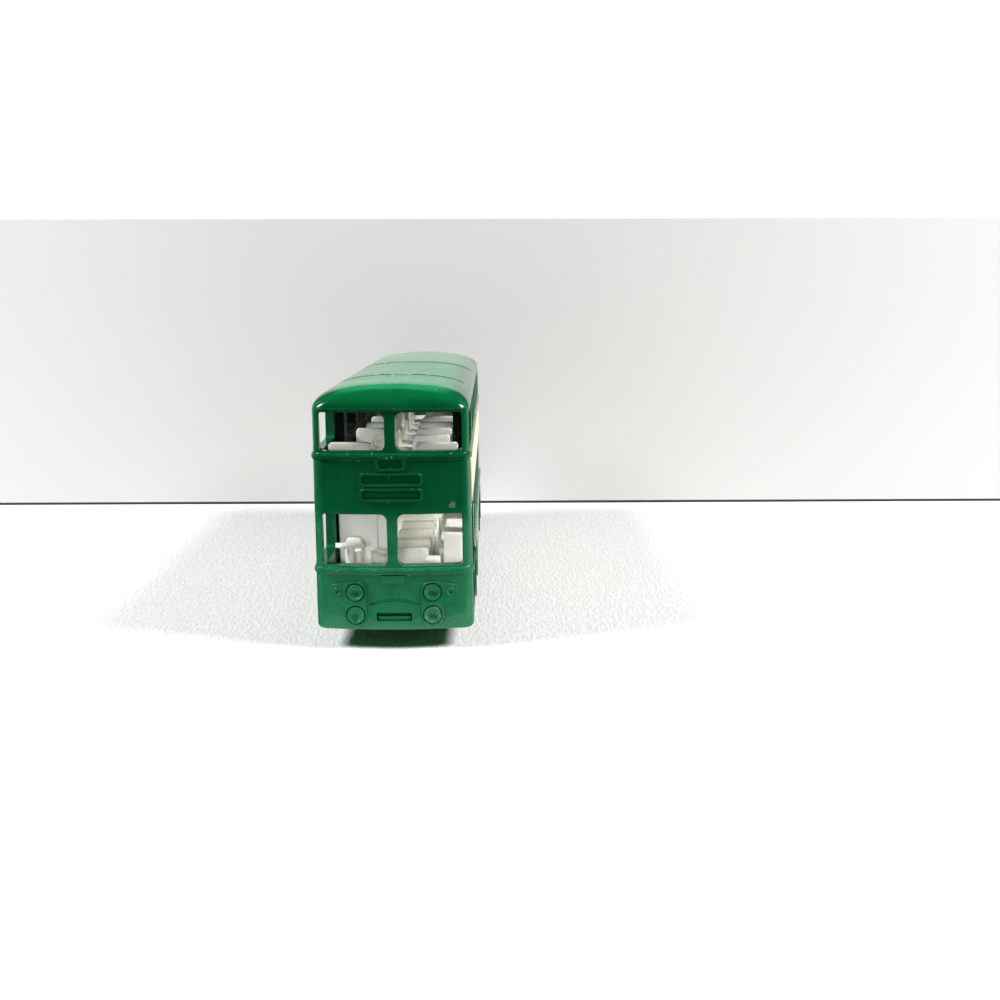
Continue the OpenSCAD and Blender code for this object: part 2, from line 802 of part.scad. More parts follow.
upper_rows = floor((body_l - 2 * wall - upper_first - upper_rear_room) / upper_pitch);
lower_rows = floor((body_l - 2 * wall - lower_first - lower_rear_room) / lower_pitch);
function upper_row_y(i) = front_y + upper_first + i * upper_pitch;
function lower_row_y(i) = front_y + lower_first + i * lower_pitch;

// Upper moulding: floor with a stairwell, a front bulkhead pair and two columns of seats
module upper_deck_seats() {
    first_left = ceil((stairwell_y + stairwell_l - upper_row_y(0)) / upper_pitch);
    z0 = upper_floor_z;
    z1 = seat_top_z;
    color("#e9e6de") difference() {
        union() {
            plan_plate(slip, upper_floor_z - floor_t, upper_floor_z);
            for (side = [0, 1]) mirror([side, 0, 0])
                seat_back(bulkhead_inner_x, bulkhead_outer_x, upper_row_y(0), z0, z1);
            for (i = [1:upper_rows])
                seat(gangway / 2, seat_outer_x, upper_row_y(i), z0, z1, cushion_l, cushion_h);
            for (i = [first_left + 1:upper_rows])
                seat(left_inset - seat_outer_x, -gangway / 2, upper_row_y(i), z0, z1, cushion_l, cushion_h);
            seat_back(guard_inset - seat_outer_x, -gangway / 2, upper_row_y(first_left), z0, z1);
        }
        translate([-deck_hw + wall, stairwell_y, upper_floor_z - floor_t - overrun])
            cube([stairwell_w, stairwell_l, floor_t + 2 * overrun]);
        along_y(upper_row_y(first_left) - overrun, upper_row_y(first_left) + seat_t * scoop_depth_share)
            translate([-gangway / 2 - scoop_rim - scoop_r, z1 - scoop_drop - scoop_r]) circle(scoop_r);
    }
}

// Black frame that stands on the upper floor behind the side windows, from the second bay back, +X side
module window_frame() {
    y0 = bay_y(1) - side_pillar;
    y1 = bay_y(bays - 1) + bay_l + frame_head;
    color("#141614") along_x(frame_in_x, deck_hw) difference() {
        translate([y0, upper_floor_z]) square([y1 - y0, dome_z - upper_floor_z]);
        for (i = [1:bays - 1])
            rounded(bay_y(i) + frame_rim, upper_sill_z,
                    bay_y(i) + bay_l - frame_rim, upper_top_z - frame_head, window_r);
    }
}

module window_frame_left() {
    window_frame();
}

module window_frame_right() {
    mirror([1, 0, 0]) window_frame();
}

// Box over one wheel, open below and to the side
module wheel_box(y) {
    translate([wheel_in_x - box_gap - box_wall, y - arch_r - box_wall, floor_z])
        cube([deck_hw - wheel_in_x + box_gap + box_wall, 2 * arch_r + 2 * box_wall,
              wheel_d + box_gap + box_wall - floor_z]);
}

module wheel_room(y) {
    translate([wheel_in_x - box_gap, y - arch_r, base_z])
        cube([half_w, 2 * arch_r, wheel_d + box_gap - base_z]);
}

// Stairs behind the cab: a front wall, a wall set back beside it and solid steps to the upper floor
module stair_tower() {
    top_z = upper_floor_z - floor_t;
    run = (tower_l - tower_set_back) / steps;
    rise = (top_z - lower_floor_top) / steps;
    translate([tower_out_x, tower_y, floor_z])
        cube([tower_in_x - tower_out_x, tower_front_t, top_z - floor_z]);
    translate([tower_in_x - tower_front_t, tower_y, floor_z])
        cube([tower_front_t, tower_l, top_z - floor_z]);
    translate([tower_in_x - tower_front_t, tower_y + tower_set_back - tower_front_t, floor_z])
        cube([tower_side_x - tower_in_x + tower_front_t, tower_front_t, top_z - floor_z]);
    for (i = [0:steps - 1])
        translate([tower_out_x, tower_y + tower_set_back + i * run, floor_z])
            cube([tower_side_x - tower_out_x, tower_l - tower_set_back - i * run,
                  lower_floor_top + (i + 1) * rise - floor_z]);
}

// Steering wheel, column, driver's seat, cab door and fare box
module cab() {
    translate([steering_x, steering_y, steering_z]) rotate([steering_tilt, 0, 0])
        cylinder(r = steering_r, h = steering_t, center = true);
    translate([steering_x, steering_y, floor_z]) cylinder(r = column_r, h = steering_z - floor_z);
    translate([steering_x, driver_y, 0]) {
        seat_back(-driver_w / 2, driver_w / 2, 0, floor_z, driver_top_z);
        translate([-driver_w / 2, -driver_t, floor_z])
            cube([driver_w, driver_t + seat_t / 2, driver_top_z - driver_cushion_drop - floor_z]);
    }
    along_y(cab_door_y, cab_door_y + cab_door_l)
        polygon([[cab_door_x, floor_z], [cab_door_x + cab_door_w, floor_z],
                 [cab_door_x + cab_door_w, cab_door_top_z - cab_door_fall], [cab_door_x, cab_door_top_z]]);
    translate([fare_x, fare_y, floor_z]) cube([fare_w, fare_l, fare_top_z - floor_z]);
}

// Lower moulding: floor, wheel boxes, benches, stairs, cab, luggage shelf and engine wall
module lower_deck_seats() {
    post_room = post_r + 2 * slip;
    top_z = upper_floor_z - floor_t;
    engine_y = rear_y - wall - engine_wall_room;
    color("#e9e6de") difference() {
        union() {
            plan_plate(slip, floor_z, lower_floor_top);
            for (y = [front_axle_y, rear_axle_y], side = [0, 1]) mirror([side, 0, 0]) wheel_box(y);
            for (i = [0:lower_rows]) {
                beside = lower_row_y(i) - bench_cushion_l < tower_y + tower_l;
                seat(beside ? bench_in_x : bench_left_x, bench_out_x, lower_row_y(i), floor_z, bench_top_z,
                     bench_cushion_l, bench_cushion_h + floor_t);
            }
            stair_tower();
            cab();
            translate([shelf_in_x, shelf_y, floor_z]) cube([shelf_w, shelf_l, shelf_top_z - floor_z]);
            translate([-deck_hw * engine_wall_hw_share, engine_y, floor_z])
                cube([2 * deck_hw * engine_wall_hw_share, engine_wall_t, top_z - floor_z]);
        }
        for (y = [front_axle_y, rear_axle_y], side = [0, 1]) mirror([side, 0, 0]) wheel_room(y);
        for (y = [front_post_y, rear_post_y]) translate([0, y, floor_z - overrun])
            cylinder(r = post_room, h = post_h + 2 * overrun);
        for (y = [front_y, rear_post_y]) translate([-post_room, y, floor_z - overrun])
            cube([2 * post_room, post_inset + wall, post_h + 2 * overrun]);
    }
}

// Wire axle with a rivet head at each end, just outside the hub bosses
module axle(y) {
    end_x = wheel_out_x - hub_depth + boss_h + head_gap;
    color("#c4c7c9") {
        bar_x(axle_r, -end_x - head_t / 2, end_x + head_t / 2, y, wheel_r);
        for (side = [0, 1]) mirror([side, 0, 0]) bar_x(head_r, end_x, end_x + head_t, y, wheel_r);
    }
}

module front_axle() {
    axle(front_axle_y);
}

module rear_axle() {
    axle(rear_axle_y);
}

// Wheel on the +X side: a turned tyre with rounded edges and cross treads, a dished hub and a bored boss
module wheel(y) {
    floor_x = wheel_w - hub_depth;
    tread_w = PI * wheel_d / treads * tread_w_share;
    color("#1b1b1b") translate([wheel_in_x, y, wheel_r]) rotate([0, 90, 0]) difference() {
        rotate_extrude($fn = 96) difference() {
            union() {
                translate([bore_r, 0]) square([wheel_r - tyre_edge_r - bore_r, wheel_w]);
                translate([bore_r, tyre_edge_r]) square([wheel_r - bore_r, wheel_w - 2 * tyre_edge_r]);
                for (z = [tyre_edge_r, wheel_w - tyre_edge_r])
                    translate([wheel_r - tyre_edge_r, z]) circle(tyre_edge_r);
            }
            translate([boss_r, floor_x]) square([hub_r - boss_r, hub_depth + overrun]);
            translate([0, floor_x + boss_h]) square([hub_r, hub_depth + overrun]);
        }
        for (k = [0:treads - 1]) rotate([0, 0, (k + 1 / 2) * 360 / treads])
            translate([wheel_r - tread_depth, -tread_w / 2, tyre_edge_r])
                cube([overrun, tread_w, wheel_w - 2 * tyre_edge_r]);
    }
}

module front_wheel_left() {
    wheel(front_axle_y);
}

module front_wheel_right() {
    mirror([1, 0, 0]) wheel(front_axle_y);
}

module rear_wheel_left() {
    wheel(rear_axle_y);
}

module rear_wheel_right() {
    mirror([1, 0, 0]) wheel(rear_axle_y);
}

// Plain label on the leaning panel between the decks, on the +X side
module side_label() {
    color("#efe3c8") on_side() along_x(0, label_t)
        rounded(front_y + label_front, label_top_z - label_h, rear_y - label_rear, label_top_z, label_r);
}

module side_label_left() {
    side_label();
}

module side_label_right() {
    mirror([1, 0, 0]) side_label();
}

body_shell();
base_plate();
upper_deck_seats();
lower_deck_seats();
window_frame_left();
window_frame_right();
side_label_left();
side_label_right();
front_axle();
rear_axle();
front_wheel_left();
front_wheel_right();
rear_wheel_left();
rear_wheel_right();
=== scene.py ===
"""Looks of a pocket die-cast double-decker bus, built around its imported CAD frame.

Run as a script in Blender: it loads the frame, registers the operators below, calls them in order and
leaves a finished scene. Lengths are metres in the frame's own axes: +Z is up, the front of the bus looks
along -Y and its doors are on the +X side.
"""

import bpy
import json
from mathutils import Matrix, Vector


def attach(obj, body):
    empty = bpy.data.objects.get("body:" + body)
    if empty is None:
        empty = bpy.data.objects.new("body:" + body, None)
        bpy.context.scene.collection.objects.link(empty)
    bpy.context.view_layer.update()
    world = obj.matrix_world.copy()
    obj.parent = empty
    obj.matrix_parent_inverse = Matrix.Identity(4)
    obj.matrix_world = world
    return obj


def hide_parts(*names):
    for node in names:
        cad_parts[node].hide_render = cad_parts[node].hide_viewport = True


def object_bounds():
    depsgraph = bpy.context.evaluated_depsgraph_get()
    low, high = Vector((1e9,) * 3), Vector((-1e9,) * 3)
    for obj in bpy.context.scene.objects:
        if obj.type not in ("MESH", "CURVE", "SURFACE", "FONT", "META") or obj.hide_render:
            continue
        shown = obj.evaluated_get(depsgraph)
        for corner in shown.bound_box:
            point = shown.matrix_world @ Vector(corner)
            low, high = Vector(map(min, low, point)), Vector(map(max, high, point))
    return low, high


bl_info = {
    "name": "Die-cast Bus Finish",
    "version": (1, 0, 0),
    "blender": (4, 5, 0),
    "location": "3D View > Sidebar > Bus",
    "description": "Finishes a die-cast toy bus: enamel, plastic, labels, wheels and a small studio",
    "category": "Object",
}

import json
import math

import bmesh
import bpy
import numpy as np
from mathutils import Matrix, Vector

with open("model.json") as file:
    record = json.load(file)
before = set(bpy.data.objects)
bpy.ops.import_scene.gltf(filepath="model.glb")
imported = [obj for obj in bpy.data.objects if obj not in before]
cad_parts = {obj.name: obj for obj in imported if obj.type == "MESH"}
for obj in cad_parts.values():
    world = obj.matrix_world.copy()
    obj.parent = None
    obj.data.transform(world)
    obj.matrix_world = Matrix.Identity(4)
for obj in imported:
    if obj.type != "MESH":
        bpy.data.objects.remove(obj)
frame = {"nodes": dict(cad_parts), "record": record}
CAD_BOX = [list(corner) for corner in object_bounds()]

MM = 0.001
PHOTO_PIXELS = 1000
SENSOR = 36.0
CREASE = math.radians(30.0)
MERGE = 0.5e-6
ORIGIN = (0.0, 0.0, 0.0)
COLOUR = dict(subtype="COLOR", size=3, min=0.0, max=1.0)
LENGTH = dict(subtype="DISTANCE", unit="LENGTH", precision=6)


class BusFinish(bpy.types.PropertyGroup):
    """Colours and small sizes of the bus's finishes"""

    enamel: bpy.props.FloatVectorProperty(
        name="Enamel", description="Green stoving enamel of the castings",
        default=(0.0011, 0.099, 0.0305), **COLOUR)
    # Paler green on edges and mouldings: thin enamel, and a painted highlight where the edges catch the
    # lamps.
    enamel_thin_and_highlight: bpy.props.FloatVectorProperty(
        name="Thin enamel", description="Enamel where it ran thin on edges and mouldings",
        default=(0.028, 0.27, 0.12), **COLOUR)
    zinc: bpy.props.FloatVectorProperty(
        name="Bare zinc", description="Casting where the enamel is chipped off",
        default=(0.24, 0.25, 0.24), **COLOUR)
    seats: bpy.props.FloatVectorProperty(
        name="Seat plastic", description="White plastic of the two seat mouldings",
        default=(0.955, 0.94, 0.87), **COLOUR)
    frames: bpy.props.FloatVectorProperty(
        name="Frame plastic", description="Black plastic behind the upper windows",
        default=(0.0025, 0.0045, 0.003), **COLOUR)
    label: bpy.props.FloatVectorProperty(
        name="Label paper", description="Cream paper of the side labels",
        default=(0.80, 0.68, 0.50), **COLOUR)
    tyres: bpy.props.FloatVectorProperty(
        name="Wheel plastic", description="Black plastic of the wheels",
        default=(0.018, 0.018, 0.019), **COLOUR)
    steel: bpy.props.FloatVectorProperty(
        name="Axle wire", description="Drawn steel of the axles",
        default=(0.50, 0.50, 0.51), **COLOUR)
    # Dust colour; in the enamel its specks on edges and belts also stand for painted glints.
    dust: bpy.props.FloatVectorProperty(
        name="Dust", description="Dust and pale specks that cling to old toys",
        default=(0.55, 0.56, 0.50), **COLOUR)
    # Painted light: a paler green on the roof's upward faces, where the top light falls.
    enamel_lit_crown: bpy.props.FloatVectorProperty(
        name="Faded enamel", description="Enamel on the crown of the roof, bleached and dusty",
        default=(0.014, 0.25, 0.098), **COLOUR)
    # Painted light: a paler green on the lower front and on the forward faces of the side jambs, where more
    # light falls.
    enamel_lit_front: bpy.props.FloatVectorProperty(
        name="Dusty enamel", description="Enamel of the lower front and the side jambs, under a film of dust",
        default=(0.017, 0.163, 0.072), **COLOUR)
    # Pale flakes along the ribs, also painted glints where the ribs catch the light.
    rib_flakes_and_glints: bpy.props.FloatVectorProperty(
        name="Rib flakes", description="Pale flakes of enamel along the ribs across the roof",
        default=(0.50, 0.78, 0.60), **COLOUR)
    # Dark green of enamel pooled in inner corners, used also as painted shade in corners, sunk places and
    # under mouldings.
    pooled_and_shade: bpy.props.FloatVectorProperty(
        name="Pooled enamel", description="Enamel where it lies thick in corners and round the relief",
        default=(0.001, 0.040, 0.0125), **COLOUR)
    wrinkle: bpy.props.FloatProperty(
        name="Roof wrinkle", description="Height of the wrinkles in the enamel on the roof",
        default=0.4 * MM, min=0.0, **LENGTH)
    chip_place: bpy.props.FloatVectorProperty(
        name="Chip", description="Middle of the chip in the panel between the decks", size=3,
        default=(8.2 * MM, -38.0 * MM, 20.6 * MM), subtype="TRANSLATION", precision=6)
    worn_lamp: bpy.props.FloatVectorProperty(
        name="Worn lamp", description="Middle of the headlamp whose enamel is rubbed", size=3,
        default=(5.35 * MM, -38.3 * MM, 5.15 * MM), subtype="TRANSLATION", precision=6)
    belt_heights: bpy.props.FloatVectorProperty(
        name="Belts", description="Heights of the two belt mouldings, which gather specks", size=2,
        default=(11.35 * MM, 27.2 * MM), precision=6)
    rib_lines: bpy.props.FloatVectorProperty(
        name="Ribs", description="Places of the two low ribs along the roof, whose enamel flakes", size=2,
        default=(-19.3 * MM, 6.6 * MM), precision=6)
    rib_half: bpy.props.FloatProperty(
        name="Rib half", description="Distance from a rib's middle within which flakes are thickest",
        default=0.5 * MM, min=0.0, **LENGTH)
    rib_reach: bpy.props.FloatProperty(
        name="Rib reach", description="Distance from a rib's middle at which the flakes end",
        default=1.3 * MM, min=0.0, **LENGTH)
    belt_half: bpy.props.FloatProperty(
        name="Belt half", description="Half the height of a belt with its rims", default=0.6 * MM, **LENGTH)
    roof_zone: bpy.props.FloatVectorProperty(
        name="Roof zone", description="Heights between which the roof's finish sets in", size=2,
        default=(34.8 * MM, 36.2 * MM), precision=6)
    # Heights between which the painted light on the lower front ends.
    lit_front_zone: bpy.props.FloatVectorProperty(
        name="Dusty zone", description="Heights between which the film of dust on the front ends", size=2,
        default=(16.5 * MM, 20.5 * MM), precision=6)
    front_zone: bpy.props.FloatVectorProperty(
        name="Front zone", description="Places along the bus between which the front's finish ends", size=2,
        default=(-37.6 * MM, -36.6 * MM), precision=6)
    wrinkle_start: bpy.props.FloatVectorProperty(
        name="Wrinkle start", description="Places along the roof between which the wrinkles set in", size=2,
        default=(-34.0 * MM, -22.0 * MM), precision=6)
    wrinkle_end: bpy.props.FloatVectorProperty(
        name="Wrinkle end", description="Places along the roof between which the wrinkles end", size=2,
        default=(-2.0 * MM, 16.0 * MM), precision=6)
    jamb_inset: bpy.props.FloatProperty(
        name="Jamb inset", description="Distance from the middle plane at which the side walls begin",
        default=9.2 * MM, **LENGTH)
    # Reach of the pooled enamel and painted shade out of an inner corner.
    corner_reach: bpy.props.FloatProperty(
        name="Corner reach", description="How far the enamel pools out of an inner corner",
        default=0.45 * MM, min=0.0, **LENGTH)
    deep_reach: bpy.props.FloatProperty(
        name="Deep reach", description="How far the broad shade in sunk and inner places reaches",
        default=3.0 * MM, min=0.0, **LENGTH)
    chip_size: bpy.props.FloatProperty(
        name="Chip size", description="Radius of the chip in the panel", default=0.5 * MM, **LENGTH)
    worn_ring: bpy.props.FloatVectorProperty(
        name="Worn ring", description="Inner and outer radius of the rubbed ring round the lamp", size=2,
        default=(0.75 * MM, 1.5 * MM), precision=6)
    casting_edge: bpy.props.FloatProperty(
        name="Casting edge", description="Radius of the casting's edges under the enamel",
        default=0.16 * MM, min=0.0, **LENGTH)
    roof_edge: bpy.props.FloatProperty(
        name="Roof edge", description="Further radius of the edges on the roof, where the enamel lies thick",
        default=0.4 * MM, min=0.0, **LENGTH)
    moulding_edge: bpy.props.FloatProperty(
        name="Moulding edge", description="Radius of the plastic mouldings' edges",
        default=0.09 * MM, min=0.0, **LENGTH)


class BusStudio(bpy.types.PropertyGroup):
    """Camera, light and backdrop of the small studio"""

    camera_place: bpy.props.FloatVectorProperty(
        name="Camera place", description="Where the camera stands", size=3,
        default=(13.64 * MM, -162.74 * MM, 48.71 * MM), subtype="TRANSLATION", precision=6)
    camera_yaw: bpy.props.FloatProperty(
        name="Yaw", description="Turn of the camera from +Y towards +X",
        default=math.radians(0.46), subtype="ANGLE")
    camera_pitch: bpy.props.FloatProperty(
        name="Pitch", description="Tilt of the camera below the horizon",
        default=math.radians(12.42), subtype="ANGLE")
    camera_roll: bpy.props.FloatProperty(
        name="Roll", description="Roll of the camera about its own axis",
        default=math.radians(-0.14), subtype="ANGLE")
    focal_pixels: bpy.props.FloatProperty(
        name="Focal length", description="Focal length in pixels of the square picture", default=945.06)
    floor_reach: bpy.props.FloatProperty(
        name="Floor reach", description="Half the side of the floor", default=0.36, **LENGTH)
    wall_gap: bpy.props.FloatProperty(
        name="Wall gap", description="Room between the back of the bus and the backdrop",
        default=16.2 * MM, **LENGTH)
    wall_height: bpy.props.FloatProperty(
        name="Wall height", description="Height of the backdrop board", default=64.5 * MM, **LENGTH)
    slot_height: bpy.props.FloatProperty(
        name="Slot height", description="Dark slot under the backdrop board", default=0.62 * MM, **LENGTH)
    slot_depth: bpy.props.FloatProperty(
        name="Slot depth", description="How far the slot lies behind the board", default=0.2 * MM, **LENGTH)
    card_lift: bpy.props.FloatProperty(
        name="Card lift", description="Height of the dark cards over the floor", default=0.3 * MM, **LENGTH)
    card_gap: bpy.props.FloatProperty(
        name="Card gap", description="Lit floor between the front of the bus and a dark card on the floor",
        default=8.0 * MM, **LENGTH)
    side_card_gap: bpy.props.FloatProperty(
        name="Side card gap", description="Floor between the left side and a dark card seen in its gloss",
        default=4.0 * MM, **LENGTH)
    floor_white: bpy.props.FloatVectorProperty(
        name="Floor", description="White of the grained floor", default=(0.92, 0.92, 0.92), **COLOUR)
    wall_white: bpy.props.FloatVectorProperty(
        name="Wall", description="Pale grey of the backdrop", default=(0.66, 0.657, 0.65), **COLOUR)
    ambient: bpy.props.FloatProperty(
        name="Ambient", description="Strength of the even light from all round", default=0.03)
    lamp_place: bpy.props.FloatVectorProperty(
        name="Lamp place", description="Where the right soft lamp stands; the left one mirrors it", size=3,
        default=(0.315, -0.076, 0.29), subtype="TRANSLATION")
    lamp_size: bpy.props.FloatVectorProperty(
        name="Lamp size", description="Width and height of a soft lamp", size=2, default=(0.13, 0.12))
    lamp_aim: bpy.props.FloatProperty(
        name="Lamp aim", description="Height that the soft lamps look at", default=20.0 * MM, **LENGTH)
    left_watts: bpy.props.FloatProperty(
        name="Left lamp", description="Power of the left soft lamp", default=2.3, unit="POWER")
    left_tint: bpy.props.FloatVectorProperty(
        name="Left tint", description="Colour of the left soft lamp", default=(0.99, 1.0, 0.99), **COLOUR)
    right_watts: bpy.props.FloatProperty(
        name="Right lamp", description="Power of the right soft lamp", default=2.4, unit="POWER")
    right_tint: bpy.props.FloatVectorProperty(
        name="Right tint", description="Colour of the right soft lamp", default=(1.0, 0.995, 0.985), **COLOUR)
    fill_place: bpy.props.FloatVectorProperty(
        name="Fill place", description="Where the weak soft light behind the camera stands", size=3,
        default=(0.0, -0.30, 0.075), subtype="TRANSLATION")
    fill_size: bpy.props.FloatVectorProperty(
        name="Fill size", description="Width and height of the weak light", size=2, default=(0.05, 0.03))
    fill_aim: bpy.props.FloatProperty(
        name="Fill aim", description="Height on the front that the weak light looks at",
        default=6.0 * MM, **LENGTH)
    fill_spread: bpy.props.FloatProperty(
        name="Fill spread", description="Angle of the grid on the weak light, so that it falls off upwards",
        default=math.radians(17.0), subtype="ANGLE")
    fill_watts: bpy.props.FloatProperty(
        name="Fill", description="Power of the weak light that reaches in through the windscreens",
        default=0.0042, unit="POWER", precision=5)
    fill_tint: bpy.props.FloatVectorProperty(
        name="Fill tint", description="Colour of the weak light", default=(1.0, 0.998, 0.99), **COLOUR)


def add(tree, kind, inputs=None, **settings):
    """Adds a node, sets its settings and fills its inputs with values or with other nodes' sockets"""
    node = tree.nodes.new(kind)
    for name, value in settings.items():
        setattr(node, name, value)
    for key, value in (inputs or {}).items():
        if isinstance(value, bpy.types.NodeSocket):
            tree.links.new(value, node.inputs[key])
        else:
            node.inputs[key].default_value = value
    return node


def maths(tree, operation, first, second=0.0, clamp=False):
    """Socket with the result of one arithmetic step"""
    return add(tree, "ShaderNodeMath", {0: first, 1: second}, operation=operation, use_clamp=clamp).outputs[0]


def blend(tree, share, first, second):
    """Socket with a mix of two colours"""
    node = add(tree, "ShaderNodeMix", data_type="RGBA")
    for socket, value in ((node.inputs[0], share), (node.inputs[6], first), (node.inputs[7], second)):
        if isinstance(value, bpy.types.NodeSocket):
            tree.links.new(value, socket)
        else:
            socket.default_value = value
    return node.outputs[2]


def product(tree, *values):
    """Socket with the product of several masks or values"""
    first, *rest = values
    for value in rest:
        first = maths(tree, "MULTIPLY", first, value)
    return first


def rest_of(tree, mask):
    """Socket that is 1 where a mask is 0, and the other way round"""
    return maths(tree, "SUBTRACT", 1.0, mask)


def noise(tree, place, scale, detail, **settings):
    """Socket with fractal noise about 0.5"""
    inputs = {"Vector": place, "Scale": scale, "Detail": detail, **settings}
    return add(tree, "ShaderNodeTexNoise", inputs).outputs["Fac"]


def split(tree, vector):
    """Sockets X, Y and Z of a vector"""
    return add(tree, "ShaderNodeSeparateXYZ", {"Vector": vector}).outputs


def smooth_step(tree, value, low, high):
    """Socket that goes from 0 at low to 1 at high, whichever of the two is the larger"""
    return add(tree, "ShaderNodeMapRange", {"Value": value, "From Min": low, "From Max": high},
               interpolation_type="SMOOTHSTEP").outputs["Result"]


def off_line(tree, value, line):
    """Socket with the distance of a coordinate from a line"""
    return maths(tree, "ABSOLUTE", maths(tree, "SUBTRACT", value, line))


def new_group(name, inputs, outputs):
    """Shader node group with named sockets; gives its tree and the node that holds its inputs"""
    tree = bpy.data.node_groups.new(name, "ShaderNodeTree")
    for label, default in inputs.items():
        vector = isinstance(default, tuple)
        socket = tree.interface.new_socket(
            name=label, in_out="INPUT", socket_type="NodeSocketVector" if vector else "NodeSocketFloat")
        socket.default_value = default
    for label in outputs:
        kind = "NodeSocketVector" if label == "Normal" else "NodeSocketFloat"
        tree.interface.new_socket(name=label, in_out="OUTPUT", socket_type=kind)
    return tree, tree.nodes.new("NodeGroupInput")


def close_group(tree, **outputs):
    """Wires a group's results to its output sockets"""
    node = tree.nodes.new("NodeGroupOutput")
    for label, socket in outputs.items():
        tree.links.new(socket, node.inputs[label])
    return tree


def specks_group():
    """Round flecks: cells nearer to their seed than Size, kept only in the share Amount of the cells"""
    tree, start = new_group("specks", {
        "Vector": ORIGIN, "Scale": 900.0, "Size": 0.3, "Amount": 0.2}, ["Mask"])
    cells = add(tree, "ShaderNodeTexVoronoi", {
        "Vector": start.outputs["Vector"], "Scale": start.outputs["Scale"]})
    chance = add(tree, "ShaderNodeSeparateColor", {"Color": cells.outputs["Color"]})
    size = maths(tree, "MULTIPLY", start.outputs["Size"], chance.outputs["Green"])
    near = maths(tree, "LESS_THAN", cells.outputs["Distance"], size)
    kept = maths(tree, "LESS_THAN", chance.outputs["Red"], start.outputs["Amount"])
    return close_group(tree, Mask=maths(tree, "MULTIPLY", near, kept))


def scuffs_group():
    """Fine scratches in patches: stretched noise above a level, inside the bright parts of a broad noise"""
    tree, start = new_group("scuffs", {"Vector": ORIGIN, "Scale": 1.0, "Amount": 0.3}, ["Mask"])
    long_way = add(tree, "ShaderNodeMapping", {
        "Vector": start.outputs["Vector"], "Rotation": (0.2, 0.5, 0.9), "Scale": (4500.0, 260.0, 3000.0)})
    lines = noise(tree, long_way.outputs["Vector"], 1.0, 2.0)
    broad = maths(tree, "MULTIPLY", start.outputs["Scale"], 160.0)
    patch = noise(tree, start.outputs["Vector"], broad, 3.0)
    level = rest_of(tree, start.outputs["Amount"])
    line_mask = smooth_step(tree, lines, 0.62, 0.70)
    patch_mask = maths(tree, "GREATER_THAN", patch, level)
    return close_group(tree, Mask=maths(tree, "MULTIPLY", line_mask, patch_mask))


def edges_group():
    """Sharp edges: the normal of a rounded surface, and how far it turns away from the true one"""
    tree, start = new_group("edges", {"Radius": 0.2 * MM, "Low": 0.02, "High": 0.2}, ["Mask", "Normal"])
    rounded = add(tree, "ShaderNodeBevel", {"Radius": start.outputs["Radius"]}, samples=6)
    true = add(tree, "ShaderNodeNewGeometry")
    dot = add(tree, "ShaderNodeVectorMath", {0: rounded.outputs["Normal"], 1: true.outputs["Normal"]},
              operation="DOT_PRODUCT")
    turned = rest_of(tree, dot.outputs["Value"])
    mask = smooth_step(tree, turned, start.outputs["Low"], start.outputs["High"])
    return close_group(tree, Mask=mask, Normal=rounded.outputs["Normal"])


def corners_group():
    """Inner corners: how much of the sky over a point its near neighbours hide, from none to all"""
    tree, start = new_group("corners", {"Reach": 0.4 * MM, "Low": 0.15, "High": 0.75}, ["Mask"])
    open_sky = add(tree, "ShaderNodeAmbientOcclusion", {"Distance": start.outputs["Reach"]}, samples=6)
    hidden = rest_of(tree, open_sky.outputs["AO"])
    return close_group(tree, Mask=smooth_step(tree, hidden, start.outputs["Low"], start.outputs["High"]))


def patch_group():
    """Ragged round patch: 1 where the distance to its middle, roughened by noise, is under Radius"""
    tree, start = new_group("patch", {
        "Vector": ORIGIN, "Middle": ORIGIN, "Radius": 1.0 * MM, "Ragged": 0.5}, ["Mask"])
    away = add(tree, "ShaderNodeVectorMath", {0: start.outputs["Vector"], 1: start.outputs["Middle"]},
               operation="DISTANCE").outputs["Value"]
    share = maths(tree, "DIVIDE", away, start.outputs["Radius"])
    rough = noise(tree, start.outputs["Vector"], 1900.0, 3.0)
    swing = product(tree, maths(tree, "SUBTRACT", rough, 0.5), start.outputs["Ragged"], 4.0)
    far = smooth_step(tree, maths(tree, "ADD", share, swing), 0.85, 1.1)
    return close_group(tree, Mask=rest_of(tree, far))


def peel_group():
    """Ripple of thick enamel: fine noise over a broader swell, as a height"""
    tree, start = new_group("peel", {"Vector": ORIGIN, "Fine": 1400.0, "Swell": 260.0}, ["Height"])
    fine = noise(tree, start.outputs["Vector"], start.outputs["Fine"], 1.0)
    swell = noise(tree, start.outputs["Vector"], start.outputs["Swell"], 2.0)
    return close_group(tree, Height=maths(tree, "ADD", maths(tree, "MULTIPLY", fine, 0.3), swell))


GROUPS = {}


def effect(tree, name, **inputs):
    """Places a shared effect in a material and gives its outputs"""
    if not GROUPS:
        GROUPS.update(specks=specks_group(), scuffs=scuffs_group(), edges=edges_group(), peel=peel_group(),
                      corners=corners_group(), patch=patch_group())
    node = add(tree, "ShaderNodeGroup", node_tree=GROUPS[name])
    for label, value in inputs.items():
        socket = node.inputs[label.capitalize()]
        if isinstance(value, bpy.types.NodeSocket):
            tree.links.new(value, socket)
        else:
            socket.default_value = value
    return node.outputs


def new_material(name, **sockets):
    """Material with a Principled shader whose plain numbers are set on its own sockets"""
    material = bpy.data.materials.new(name)
    material.use_nodes = True
    shader = material.node_tree.nodes["Principled BSDF"]
    for label, value in sockets.items():
        shader.inputs[label.replace("_", " ")].default_value = value
    place = add(material.node_tree, "ShaderNodeTexCoord").outputs["Object"]
    return material, material.node_tree, shader, place


def rgba(colour):
    """Opaque colour for a socket"""
    return (*colour, 1.0)


def bump(tree, height, strength, distance, normal=None):
    """Socket with a normal tipped by a height"""
    inputs = {"Height": height, "Strength": strength, "Distance": distance}
    if normal is not None:
        inputs["Normal"] = normal
    return add(tree, "ShaderNodeBump", inputs).outputs["Normal"]


